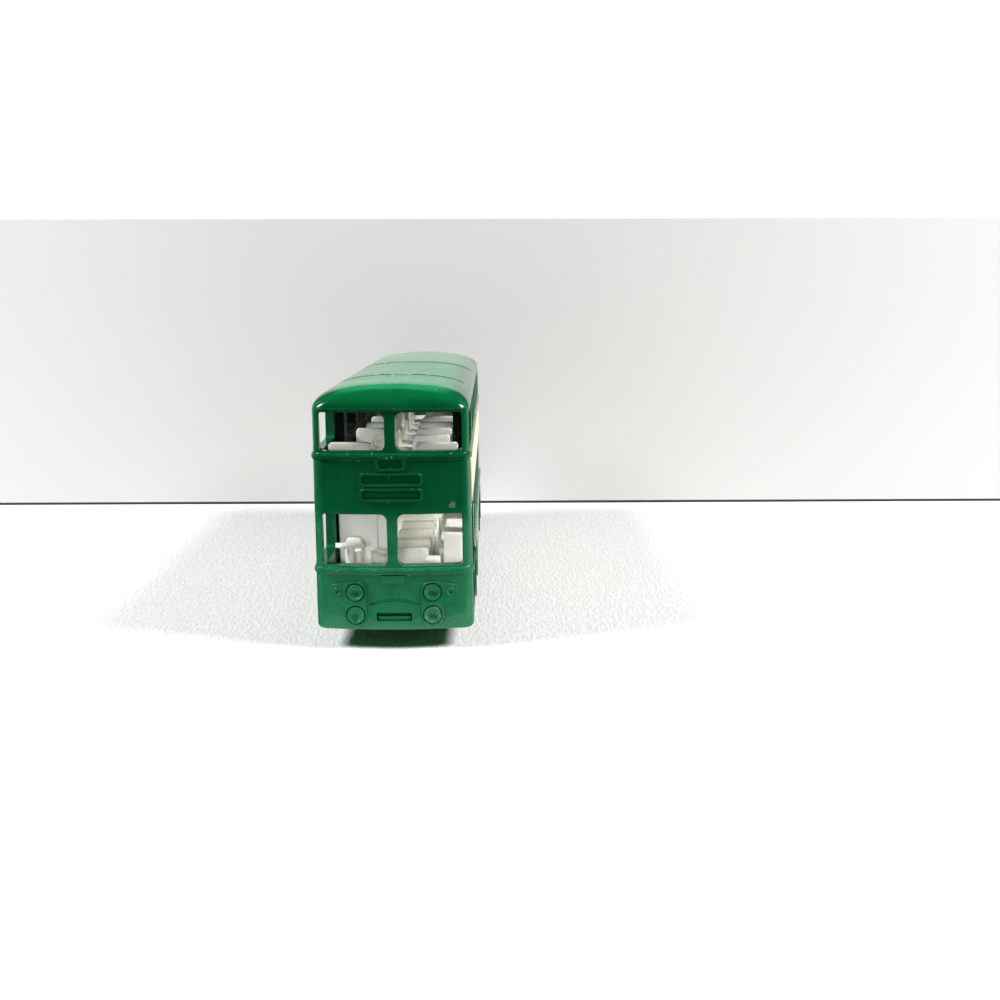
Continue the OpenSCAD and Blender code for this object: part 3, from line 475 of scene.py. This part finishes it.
def enamel(finish, name, wear):
    """Gloss stoving enamel over zinc

    The green coat is darkened with painted shade in inner corners, where the enamel also pools, and is paler
    on edges, as thin enamel with a painted highlight. Pale specks with painted glints gather on edges and
    belts, chips show the zinc, and the roof's coat is wrinkled over its front half.
    """
    material, tree, shader, place = new_material(name, IOR=1.5, Specular_IOR_Level=0.22)
    axes = split(tree, place)
    roof = smooth_step(tree, axes["Z"], *finish.roof_zone)
    swell = noise(tree, place, 90.0, 3.0)
    broken = noise(tree, place, 640.0, 3.0)
    thick = product(tree, roof, smooth_step(tree, broken, 0.6, 0.4), finish.roof_edge)
    edge = effect(tree, "edges", radius=maths(tree, "ADD", thick, finish.casting_edge), low=0.01, high=0.22)
    hidden = effect(tree, "corners", reach=finish.corner_reach, low=0.12, high=0.7)["Mask"]
    outer = maths(tree, "SUBTRACT", edge["Mask"], maths(tree, "MULTIPLY", hidden, 2.0), clamp=True)

    colour = enamel_regions(tree, finish, place, axes, roof)
    # Painted highlight with thin enamel: convex edges paler.
    thin_and_highlight = product(tree, outer, 0.8, smooth_step(tree, swell, 0.3, 0.65))
    colour = blend(tree, thin_and_highlight, colour, rgba(finish.enamel_thin_and_highlight))
    # Painted shade with pooled enamel: inner corners darkened, except on the roof.
    corner = maths(tree, "MULTIPLY", hidden, rest_of(tree, roof))
    colour = blend(tree, corner, colour, rgba(finish.pooled_and_shade))
    ribs = [smooth_step(tree, off_line(tree, axes["Y"], line), finish.rib_reach, finish.rib_half)
            for line in finish.rib_lines]
    # Pale flakes and painted glints along the ribs.
    flakes_and_glints = product(tree, maths(tree, "MAXIMUM", *ribs), smooth_step(tree, broken, 0.54, 0.62), roof)
    colour = blend(tree, flakes_and_glints, colour, rgba(finish.rib_flakes_and_glints))
    # Pale specks of dust, with painted glints on the edges and belts.
    fleck = enamel_specks_and_glints(tree, finish, place, axes, edge["Mask"], wear)
    colour = blend(tree, maths(tree, "MULTIPLY", fleck, 0.5), colour, rgba(finish.dust))
    bare = enamel_chips(tree, finish, place, outer, wear)
    tree.links.new(blend(tree, bare, colour, rgba(finish.zinc)), shader.inputs["Base Color"])

    dull = maths(tree, "ADD", maths(tree, "MULTIPLY", swell, 0.12), 0.06)
    rough = maths(tree, "MAXIMUM", dull, maths(tree, "MULTIPLY", maths(tree, "MAXIMUM", bare, fleck), 0.5))
    tree.links.new(rough, shader.inputs["Roughness"])
    ripple = effect(tree, "peel", vector=place, fine=1500.0, swell=420.0)["Height"]
    sunk = maths(tree, "SUBTRACT", ripple, maths(tree, "MULTIPLY", bare, 0.8))
    raised = maths(tree, "ADD", sunk, maths(tree, "MULTIPLY", fleck, 0.6))
    fine = bump(tree, raised, 0.25, 0.04 * MM, edge["Normal"])
    wrinkles = product(tree, enamel_folds(tree, finish, place, axes), roof)
    tree.links.new(bump(tree, wrinkles, 1.0, finish.wrinkle, fine), shader.inputs["Normal"])
    return material


def enamel_regions(tree, finish, place, axes, roof):
    """Colour of the coat by region: painted light on the roof's upward faces, the lower front and the side
    jambs, painted shade in hidden places, and a random mottle
    """
    facing = split(tree, add(tree, "ShaderNodeNewGeometry").outputs["Normal"])
    # Painted light: upward faces of the roof paler.
    crown = maths(tree, "MULTIPLY", roof, smooth_step(tree, facing["Z"], 0.9, 0.985))
    colour = blend(tree, crown, rgba(finish.enamel), rgba(finish.enamel_lit_crown))
    # Painted light: the lower front and the forward faces of the side jambs are paler.
    low = rest_of(tree, smooth_step(tree, axes["Z"], *finish.lit_front_zone))
    front = rest_of(tree, smooth_step(tree, axes["Y"], *finish.front_zone))
    wide = maths(tree, "GREATER_THAN", maths(tree, "ABSOLUTE", axes["X"]), finish.jamb_inset)
    jamb = product(tree, wide, maths(tree, "LESS_THAN", facing["Y"], -0.4), rest_of(tree, front))
    painted_light = maths(tree, "MAXIMUM", maths(tree, "MULTIPLY", low, front), jamb)
    colour = blend(tree, painted_light, colour, rgba(finish.enamel_lit_front))
    mottle = noise(tree, place, 560.0, 4.0)
    # Painted shade: places hidden within a few millimetres, such as sunk panels and the undersides of belts,
    # are darkened; a random mottle adds uneven tone.
    deep = effect(tree, "corners", reach=finish.deep_reach, low=0.2, high=0.75)["Mask"]
    deep = product(tree, deep, maths(tree, "SUBTRACT", 0.85, maths(tree, "MULTIPLY", front, 0.6)))
    shade = maths(tree, "MAXIMUM", deep, maths(tree, "MULTIPLY", smooth_step(tree, mottle, 0.42, 0.8), 0.3))
    return blend(tree, shade, colour, rgba(finish.pooled_and_shade))


def enamel_specks_and_glints(tree, finish, place, axes, edges, wear):
    """Mask of the pale specks and painted glints, many on edges and belts and a few on the flats"""
    belts = [maths(tree, "LESS_THAN", off_line(tree, axes["Z"], height), finish.belt_half)
             for height in finish.belt_heights]
    catch = maths(tree, "MAXIMUM", maths(tree, "MAXIMUM", *belts), edges)
    often = maths(tree, "ADD", maths(tree, "MULTIPLY", catch, 0.035 * wear), 0.0012 * wear)
    return effect(tree, "specks", vector=place, scale=4600.0, size=0.48, amount=often)["Mask"]


def enamel_chips(tree, finish, place, outer, wear):
    """Mask of bare zinc: rubbed edges, the chip in the panel and the ring of the worn lamp"""
    ragged = noise(tree, place, 620.0, 4.0)
    rubbed = maths(tree, "MULTIPLY", outer, smooth_step(tree, ragged, 0.80 - 0.1 * wear, 0.84 - 0.1 * wear))
    chip = effect(tree, "patch", vector=place, middle=tuple(finish.chip_place),
                  radius=finish.chip_size)["Mask"]
    inner, rim = [effect(tree, "patch", vector=place, middle=tuple(finish.worn_lamp), radius=radius,
                         ragged=0.3)["Mask"] for radius in finish.worn_ring]
    grain = noise(tree, place, 3000.0, 3.0)
    ring = maths(tree, "SUBTRACT", rim, inner, clamp=True)
    worn = product(tree, ring, smooth_step(tree, grain, 0.5, 0.66), 0.55)
    return maths(tree, "MAXIMUM", maths(tree, "MAXIMUM", rubbed, maths(tree, "MULTIPLY", chip, 0.5)), worn)


def enamel_folds(tree, finish, place, axes):
    """Height of the wrinkles over the roof: drawn-out noise that fades in behind the front and out again"""
    along = maths(tree, "SUBTRACT", smooth_step(tree, axes["Y"], *finish.wrinkle_start),
                  smooth_step(tree, axes["Y"], *finish.wrinkle_end))
    drawn = add(tree, "ShaderNodeMapping", {"Vector": place, "Scale": (620.0, 240.0, 300.0)})
    folds = noise(tree, drawn.outputs["Vector"], 1.0, 4.0, Roughness=0.62)
    return maths(tree, "MULTIPLY", folds, along)


def seat_plastic(finish):
    """Injection-moulded white plastic: slightly yellowed in clouds, with a few dark specks"""
    material, tree, shader, place = new_material(
        "seat_plastic", IOR=1.46, Specular_IOR_Level=0.4, Subsurface_Weight=0.85, Subsurface_Scale=1.2 * MM)
    shader.inputs["Subsurface Radius"].default_value = (1.0, 0.9, 0.7)
    cloud = noise(tree, place, 140.0, 4.0)
    aged = tuple(0.93 * c * t for c, t in zip(finish.seats, (1.0, 0.99, 0.955)))
    colour = blend(tree, smooth_step(tree, cloud, 0.4, 0.75), rgba(finish.seats), rgba(aged))
    fleck = effect(tree, "specks", vector=place, scale=1500.0, size=0.32, amount=0.02)["Mask"]
    colour = blend(tree, fleck, colour, (0.25, 0.24, 0.2, 1.0))
    tree.links.new(colour, shader.inputs["Base Color"])
    rough = maths(tree, "ADD", maths(tree, "MULTIPLY", cloud, 0.25), 0.28)
    tree.links.new(rough, shader.inputs["Roughness"])
    ripple = effect(tree, "peel", vector=place, fine=2600.0, swell=500.0)["Height"]
    edge = effect(tree, "edges", radius=finish.moulding_edge)
    tree.links.new(bump(tree, ripple, 0.2, 0.03 * MM, edge["Normal"]), shader.inputs["Normal"])
    return material


def dark_plastic(finish, name, base, gloss, rough_range, dust):
    """Black moulded plastic with a satin grain, fine scuffs and a little dust"""
    material, tree, shader, place = new_material(name, IOR=1.47, Specular_IOR_Level=gloss)
    cloud = noise(tree, place, 320.0, 4.0)
    scuff = effect(tree, "scuffs", vector=place, scale=1.0, amount=0.42)["Mask"]
    fleck = effect(tree, "specks", vector=place, scale=1700.0, size=0.35, amount=dust)["Mask"]
    pale = maths(tree, "MAXIMUM", maths(tree, "MULTIPLY", scuff, 0.25), maths(tree, "MULTIPLY", fleck, 0.6))
    tree.links.new(blend(tree, pale, rgba(base), rgba(finish.dust)), shader.inputs["Base Color"])
    low, high = rough_range
    rough = maths(tree, "ADD", maths(tree, "MULTIPLY", cloud, high - low), low)
    tree.links.new(rough, shader.inputs["Roughness"])
    ripple = effect(tree, "peel", vector=place, fine=3200.0, swell=900.0)["Height"]
    edge = effect(tree, "edges", radius=finish.moulding_edge)
    tree.links.new(bump(tree, ripple, 0.3, 0.02 * MM, edge["Normal"]), shader.inputs["Normal"])
    return material


def label_paper(finish):
    """Varnished cream paper: fine fibres, faded clouds and a few scuffs"""
    material, tree, shader, place = new_material(
        "label_paper", IOR=1.45, Specular_IOR_Level=0.35, Coat_Weight=0.15, Coat_Roughness=0.3)
    fibres = noise(tree, place, 2600.0, 5.0)
    cloud = noise(tree, place, 110.0, 4.0)
    faded = tuple(min(1.0, 1.12 * c) for c in finish.label)
    colour = blend(tree, smooth_step(tree, cloud, 0.4, 0.7), rgba(finish.label), rgba(faded))
    scuff = effect(tree, "scuffs", vector=place, scale=0.8, amount=0.4)["Mask"]
    colour = blend(tree, maths(tree, "MULTIPLY", scuff, 0.5), colour, (0.86, 0.82, 0.74, 1.0))
    tree.links.new(colour, shader.inputs["Base Color"])
    tree.links.new(maths(tree, "ADD", maths(tree, "MULTIPLY", fibres, 0.2), 0.42), shader.inputs["Roughness"])
    tree.links.new(bump(tree, fibres, 0.25, 0.015 * MM), shader.inputs["Normal"])
    return material


def axle_steel(finish):
    """Drawn steel wire: fine rings round the wire, dulled in patches"""
    material, tree, shader, place = new_material("axle_steel", Metallic=1.0)
    along = add(tree, "ShaderNodeMapping", {"Vector": place, "Scale": (9000.0, 400.0, 400.0)})
    rings = noise(tree, along.outputs["Vector"], 1.0, 2.0)
    cloud = noise(tree, place, 900.0, 3.0)
    dulled = tuple(0.6 * c for c in finish.steel)
    colour = blend(tree, smooth_step(tree, cloud, 0.45, 0.7), rgba(finish.steel), rgba(dulled))
    tree.links.new(colour, shader.inputs["Base Color"])
    tree.links.new(maths(tree, "ADD", maths(tree, "MULTIPLY", cloud, 0.3), 0.2), shader.inputs["Roughness"])
    tree.links.new(bump(tree, rings, 0.3, 0.01 * MM), shader.inputs["Normal"])
    return material


def merged_copy(node, name):
    """Copy of a CAD node with its loose triangles joined, smooth but for edges that turn past the crease"""
    mesh = bpy.data.meshes.new(name)
    work = bmesh.new()
    work.from_mesh(frame["nodes"][node].data)
    bmesh.ops.remove_doubles(work, verts=work.verts, dist=MERGE)
    bmesh.ops.dissolve_degenerate(work, edges=work.edges, dist=MERGE)
    for face in work.faces:
        face.smooth = True
    for edge in work.edges:
        edge.smooth = len(edge.link_faces) == 2 and edge.calc_face_angle() < CREASE
    work.to_mesh(mesh)
    work.free()
    piece = bpy.data.objects.new(name, mesh)
    bpy.context.scene.collection.objects.link(piece)
    return piece


def dress(node, name, material):
    """Puts a finished piece in the place of a CAD node, on the same body"""
    piece = merged_copy(node, name)
    piece.data.materials.append(material)
    record = frame["record"]
    body = next(b for b, nodes in record["behaviour"]["bodies"].items() if node in nodes)
    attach(piece, body)
    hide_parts(node)
    return piece


def sheet(name, corner, across, along, material):
    """Flat sheet: corner + u * across + v * along over a grid of u and v"""
    u, v = np.meshgrid(np.linspace(0.0, 1.0, 5), np.linspace(0.0, 1.0, 5))
    points = np.array(corner) + u[..., None] * np.array(across) + v[..., None] * np.array(along)
    return grid_piece(name, points, material)


def grid_piece(name, points, material):
    """Mesh over a grid of points: rows by columns by three"""
    rows, columns = points.shape[:2]
    first = (np.arange(rows - 1)[:, None] * columns + np.arange(columns - 1)).ravel()
    faces = np.stack([first, first + 1, first + columns + 1, first + columns], axis=1)
    mesh = bpy.data.meshes.new(name)
    mesh.from_pydata(points.reshape(-1, 3).tolist(), [], faces.tolist())
    mesh.materials.append(material)
    piece = bpy.data.objects.new(name, mesh)
    bpy.context.scene.collection.objects.link(piece)
    return piece


def area_lamp(name, place, target, size, watts, tint):
    """Soft rectangular lamp that looks at a target"""
    light = bpy.data.lights.new(name, "AREA")
    light.shape = "RECTANGLE"
    light.size, light.size_y = size
    light.energy = watts
    light.color = tint
    lamp = bpy.data.objects.new(name, light)
    lamp.location = place
    lamp.rotation_euler = (Vector(target) - Vector(place)).to_track_quat("-Z", "Y").to_euler()
    bpy.context.scene.collection.objects.link(lamp)
    return lamp


def floor_paper(studio):
    """White sheet with a leather-like grain"""
    material, tree, shader, place = new_material("floor_paper", Roughness=0.6, Specular_IOR_Level=0.2)
    bend = add(tree, "ShaderNodeTexNoise", {"Vector": place, "Scale": 700.0, "Detail": 2.0})
    wavy = add(tree, "ShaderNodeVectorMath", {
        0: bend.outputs["Color"], 1: (0.5 * MM, 0.5 * MM, 0.0), 2: place}, operation="MULTIPLY_ADD")
    drawn = add(tree, "ShaderNodeMapping", {
        "Vector": wavy.outputs["Vector"], "Rotation": (0.0, 0.0, 0.5), "Scale": (2400.0, 900.0, 1.0)})
    cells = add(tree, "ShaderNodeTexVoronoi", {"Vector": drawn.outputs["Vector"], "Scale": 1.0},
                feature="SMOOTH_F1")
    height = smooth_step(tree, cells.outputs["Distance"], 0.1, 0.75)
    valley = tuple(0.93 * c for c in studio.floor_white)
    tree.links.new(blend(tree, height, rgba(valley), rgba(studio.floor_white)), shader.inputs["Base Color"])
    tree.links.new(bump(tree, height, 0.6, 0.07 * MM), shader.inputs["Normal"])
    return material


def wall_board(studio):
    """Pale board that is seen only from its front"""
    material, tree, shader, place = new_material("wall_board", Roughness=0.7, Specular_IOR_Level=0.2)
    cloud = noise(tree, place, 12.0, 2.0)
    shade = tuple(0.97 * c for c in studio.wall_white)
    tree.links.new(blend(tree, cloud, rgba(studio.wall_white), rgba(shade)), shader.inputs["Base Color"])
    behind = add(tree, "ShaderNodeNewGeometry").outputs["Backfacing"]
    clear = add(tree, "ShaderNodeBsdfTransparent")
    front = add(tree, "ShaderNodeMixShader", {0: behind, 1: shader.outputs[0], 2: clear.outputs[0]})
    end = next(n for n in tree.nodes if n.type == "OUTPUT_MATERIAL")
    tree.links.new(front.outputs[0], end.inputs["Surface"])
    return material


class BUS_OT_stage(bpy.types.Operator):
    """Sets up the camera, floor, backdrop, lamps and world"""

    bl_idname = "bus.stage"
    bl_label = "Stage"

    def execute(self, context):
        studio = context.scene.bus_studio
        scene = context.scene
        scene.view_settings.view_transform = "Standard"
        self.camera(scene, studio)
        self.backdrop(studio)
        self.lamps(studio)
        self.world(scene, studio)
        return {"FINISHED"}

    def camera(self, scene, studio):
        """Camera at the photograph's place, turned by yaw, pitch and roll"""
        yaw, pitch, roll = studio.camera_yaw, studio.camera_pitch, studio.camera_roll
        ahead = Vector((math.sin(yaw) * math.cos(pitch), math.cos(yaw) * math.cos(pitch), -math.sin(pitch)))
        right = Vector((math.cos(yaw), -math.sin(yaw), 0.0))
        up = right.cross(ahead)
        side = math.cos(roll) * right + math.sin(roll) * up
        top = -math.sin(roll) * right + math.cos(roll) * up
        data = bpy.data.cameras.new("camera")
        data.sensor_width = SENSOR
        data.lens = studio.focal_pixels * SENSOR / PHOTO_PIXELS
        data.clip_start = 1.0 * MM
        data.clip_end = 10.0
        camera = bpy.data.objects.new("camera", data)
        turn = Matrix((side, top, -ahead)).transposed().to_4x4()
        camera.matrix_world = Matrix.Translation(studio.camera_place) @ turn
        scene.collection.objects.link(camera)
        scene.camera = camera

    def backdrop(self, studio):
        """Floor, board with a dark slot under it, and two dark cards that only the bus sees"""
        reach = studio.floor_reach
        wall_y = CAD_BOX[1][1] + studio.wall_gap
        slot = studio.slot_height
        floor = sheet("floor", (-reach, -reach, 0.0), (2 * reach, 0.0, 0.0), (0.0, 2 * reach, 0.0),
                      floor_paper(studio))
        wall = sheet("wall", (-reach, wall_y, slot), (2 * reach, 0.0, 0.0),
                     (0.0, 0.0, studio.wall_height - slot), wall_board(studio))
        dark, *_ = new_material("slot_shadow", Roughness=0.9, Base_Color=(0.03, 0.03, 0.025, 1.0))
        gap = sheet("slot", (-reach, wall_y + studio.slot_depth, 0.0), (2 * reach, 0.0, 0.0),
                    (0.0, 0.0, slot), dark)
        card_black, *_ = new_material("card_black", Roughness=0.9, Base_Color=(0.01, 0.01, 0.01, 1.0))
        card_y = CAD_BOX[0][1] - studio.card_gap
        card_x = CAD_BOX[0][0] - studio.side_card_gap
        ahead = sheet("front_card", (-reach, -reach, studio.card_lift), (2 * reach, 0.0, 0.0),
                      (0.0, card_y + reach, 0.0), card_black)
        beside = sheet("side_card", (-reach, card_y, studio.card_lift), (card_x + reach, 0.0, 0.0),
                       (0.0, wall_y - card_y, 0.0), card_black)
        beside.visible_diffuse = False
        for card in (ahead, beside):
            card.visible_camera = False
            card.visible_shadow = False
        for board in (wall, gap):
            board.visible_diffuse = False
            board.visible_shadow = False

    def lamps(self, studio):
        """Two soft lamps above the sides, and a weak one from the front that leaves the floor alone"""
        target = (0.0, 0.0, studio.lamp_aim)
        x, y, z = studio.lamp_place
        area_lamp("left_lamp", (-x, y, z), target, studio.lamp_size, studio.left_watts, studio.left_tint)
        area_lamp("right_lamp", (x, y, z), target, studio.lamp_size, studio.right_watts, studio.right_tint)
        front = CAD_BOX[0][1]
        fill = area_lamp("fill_lamp", studio.fill_place, (0.0, front, studio.fill_aim), studio.fill_size,
                         studio.fill_watts, studio.fill_tint)
        fill.data.spread = studio.fill_spread
        fill.visible_glossy = False
        fill.visible_camera = False
        unlit = bpy.data.collections.new("unlit_by_fill")
        unlit.objects.link(bpy.data.objects["floor"])
        unlit.collection_objects[0].light_linking.link_state = "EXCLUDE"
        fill.light_linking.receiver_collection = unlit

    def world(self, scene, studio):
        """Dim even light that is white where the camera sees it"""
        world = bpy.data.worlds.new("studio")
        world.use_nodes = True
        tree = world.node_tree
        seen = add(tree, "ShaderNodeLightPath").outputs["Is Camera Ray"]
        extra = maths(tree, "MULTIPLY", seen, 1.0 - studio.ambient)
        strength = maths(tree, "ADD", extra, studio.ambient)
        tree.links.new(strength, tree.nodes["Background"].inputs["Strength"])
        tree.nodes["Background"].inputs["Color"].default_value = (1.0, 1.0, 1.0, 1.0)
        scene.world = world


class BUS_OT_castings(bpy.types.Operator):
    """Enamels the body shell and the base plate"""

    bl_idname = "bus.castings"
    bl_label = "Castings"

    def execute(self, context):
        finish = context.scene.bus_finish
        dress("body_shell", "shell", enamel(finish, "body_enamel", wear=1.0))
        dress("base_plate", "base", enamel(finish, "base_enamel", wear=1.6))
        return {"FINISHED"}


class BUS_OT_seats(bpy.types.Operator):
    """Moulds the two seat decks in white plastic"""

    bl_idname = "bus.seats"
    bl_label = "Seat mouldings"

    def execute(self, context):
        finish = context.scene.bus_finish
        white = seat_plastic(finish)
        dress("upper_deck_seats", "upper_seats", white)
        dress("lower_deck_seats", "lower_seats", white)
        return {"FINISHED"}


class BUS_OT_window_frames(bpy.types.Operator):
    """Puts the black frames behind the upper side windows"""

    bl_idname = "bus.window_frames"
    bl_label = "Window frames"

    def execute(self, context):
        finish = context.scene.bus_finish
        black = dark_plastic(finish, "frame_plastic", finish.frames, gloss=0.15, rough_range=(0.4, 0.65),
                             dust=0.02)
        for side in ("left", "right"):
            dress(f"window_frame_{side}", f"frame_{side}", black)
        return {"FINISHED"}


class BUS_OT_labels(bpy.types.Operator):
    """Sticks the plain labels on the sides"""

    bl_idname = "bus.labels"
    bl_label = "Side labels"

    def execute(self, context):
        finish = context.scene.bus_finish
        paper = label_paper(finish)
        for side in ("left", "right"):
            dress(f"side_label_{side}", f"label_{side}", paper)
        return {"FINISHED"}


class BUS_OT_running_gear(bpy.types.Operator):
    """Finishes the wheels and the wire axles"""

    bl_idname = "bus.running_gear"
    bl_label = "Wheels and axles"

    def execute(self, context):
        finish = context.scene.bus_finish
        black = dark_plastic(finish, "wheel_plastic", finish.tyres, gloss=0.4, rough_range=(0.32, 0.55),
                             dust=0.03)
        wire = axle_steel(finish)
        for end in ("front", "rear"):
            dress(f"{end}_axle", f"{end}_wire", wire)
            for side in ("left", "right"):
                dress(f"{end}_wheel_{side}", f"{end}_tyre_{side}", black)
        return {"FINISHED"}


STEPS = (BUS_OT_stage, BUS_OT_castings, BUS_OT_seats, BUS_OT_window_frames, BUS_OT_labels,
         BUS_OT_running_gear)


class BUS_PT_finish(bpy.types.Panel):
    """Lists the steps and the values that they read"""

    bl_idname = "BUS_PT_finish"
    bl_label = "Bus finish"
    bl_space_type = "VIEW_3D"
    bl_region_type = "UI"
    bl_category = "Bus"

    def draw(self, context):
        for step in STEPS:
            self.layout.operator(step.bl_idname)
        for group in (context.scene.bus_finish, context.scene.bus_studio):
            column = self.layout.column()
            for name in group.bl_rna.properties.keys():
                if name not in ("rna_type", "name"):
                    column.prop(group, name)


CLASSES = (BusFinish, BusStudio, *STEPS, BUS_PT_finish)


def register():
    for cls in CLASSES:
        bpy.utils.register_class(cls)
    bpy.types.Scene.bus_finish = bpy.props.PointerProperty(type=BusFinish)
    bpy.types.Scene.bus_studio = bpy.props.PointerProperty(type=BusStudio)


def unregister():
    del bpy.types.Scene.bus_studio
    del bpy.types.Scene.bus_finish
    for cls in reversed(CLASSES):
        bpy.utils.unregister_class(cls)


def main():
    """Runs every step"""
    register()
    for step in STEPS:
        family, name = step.bl_idname.split(".")
        getattr(getattr(bpy.ops, family), name)()


if __name__ == "__main__":
    main()
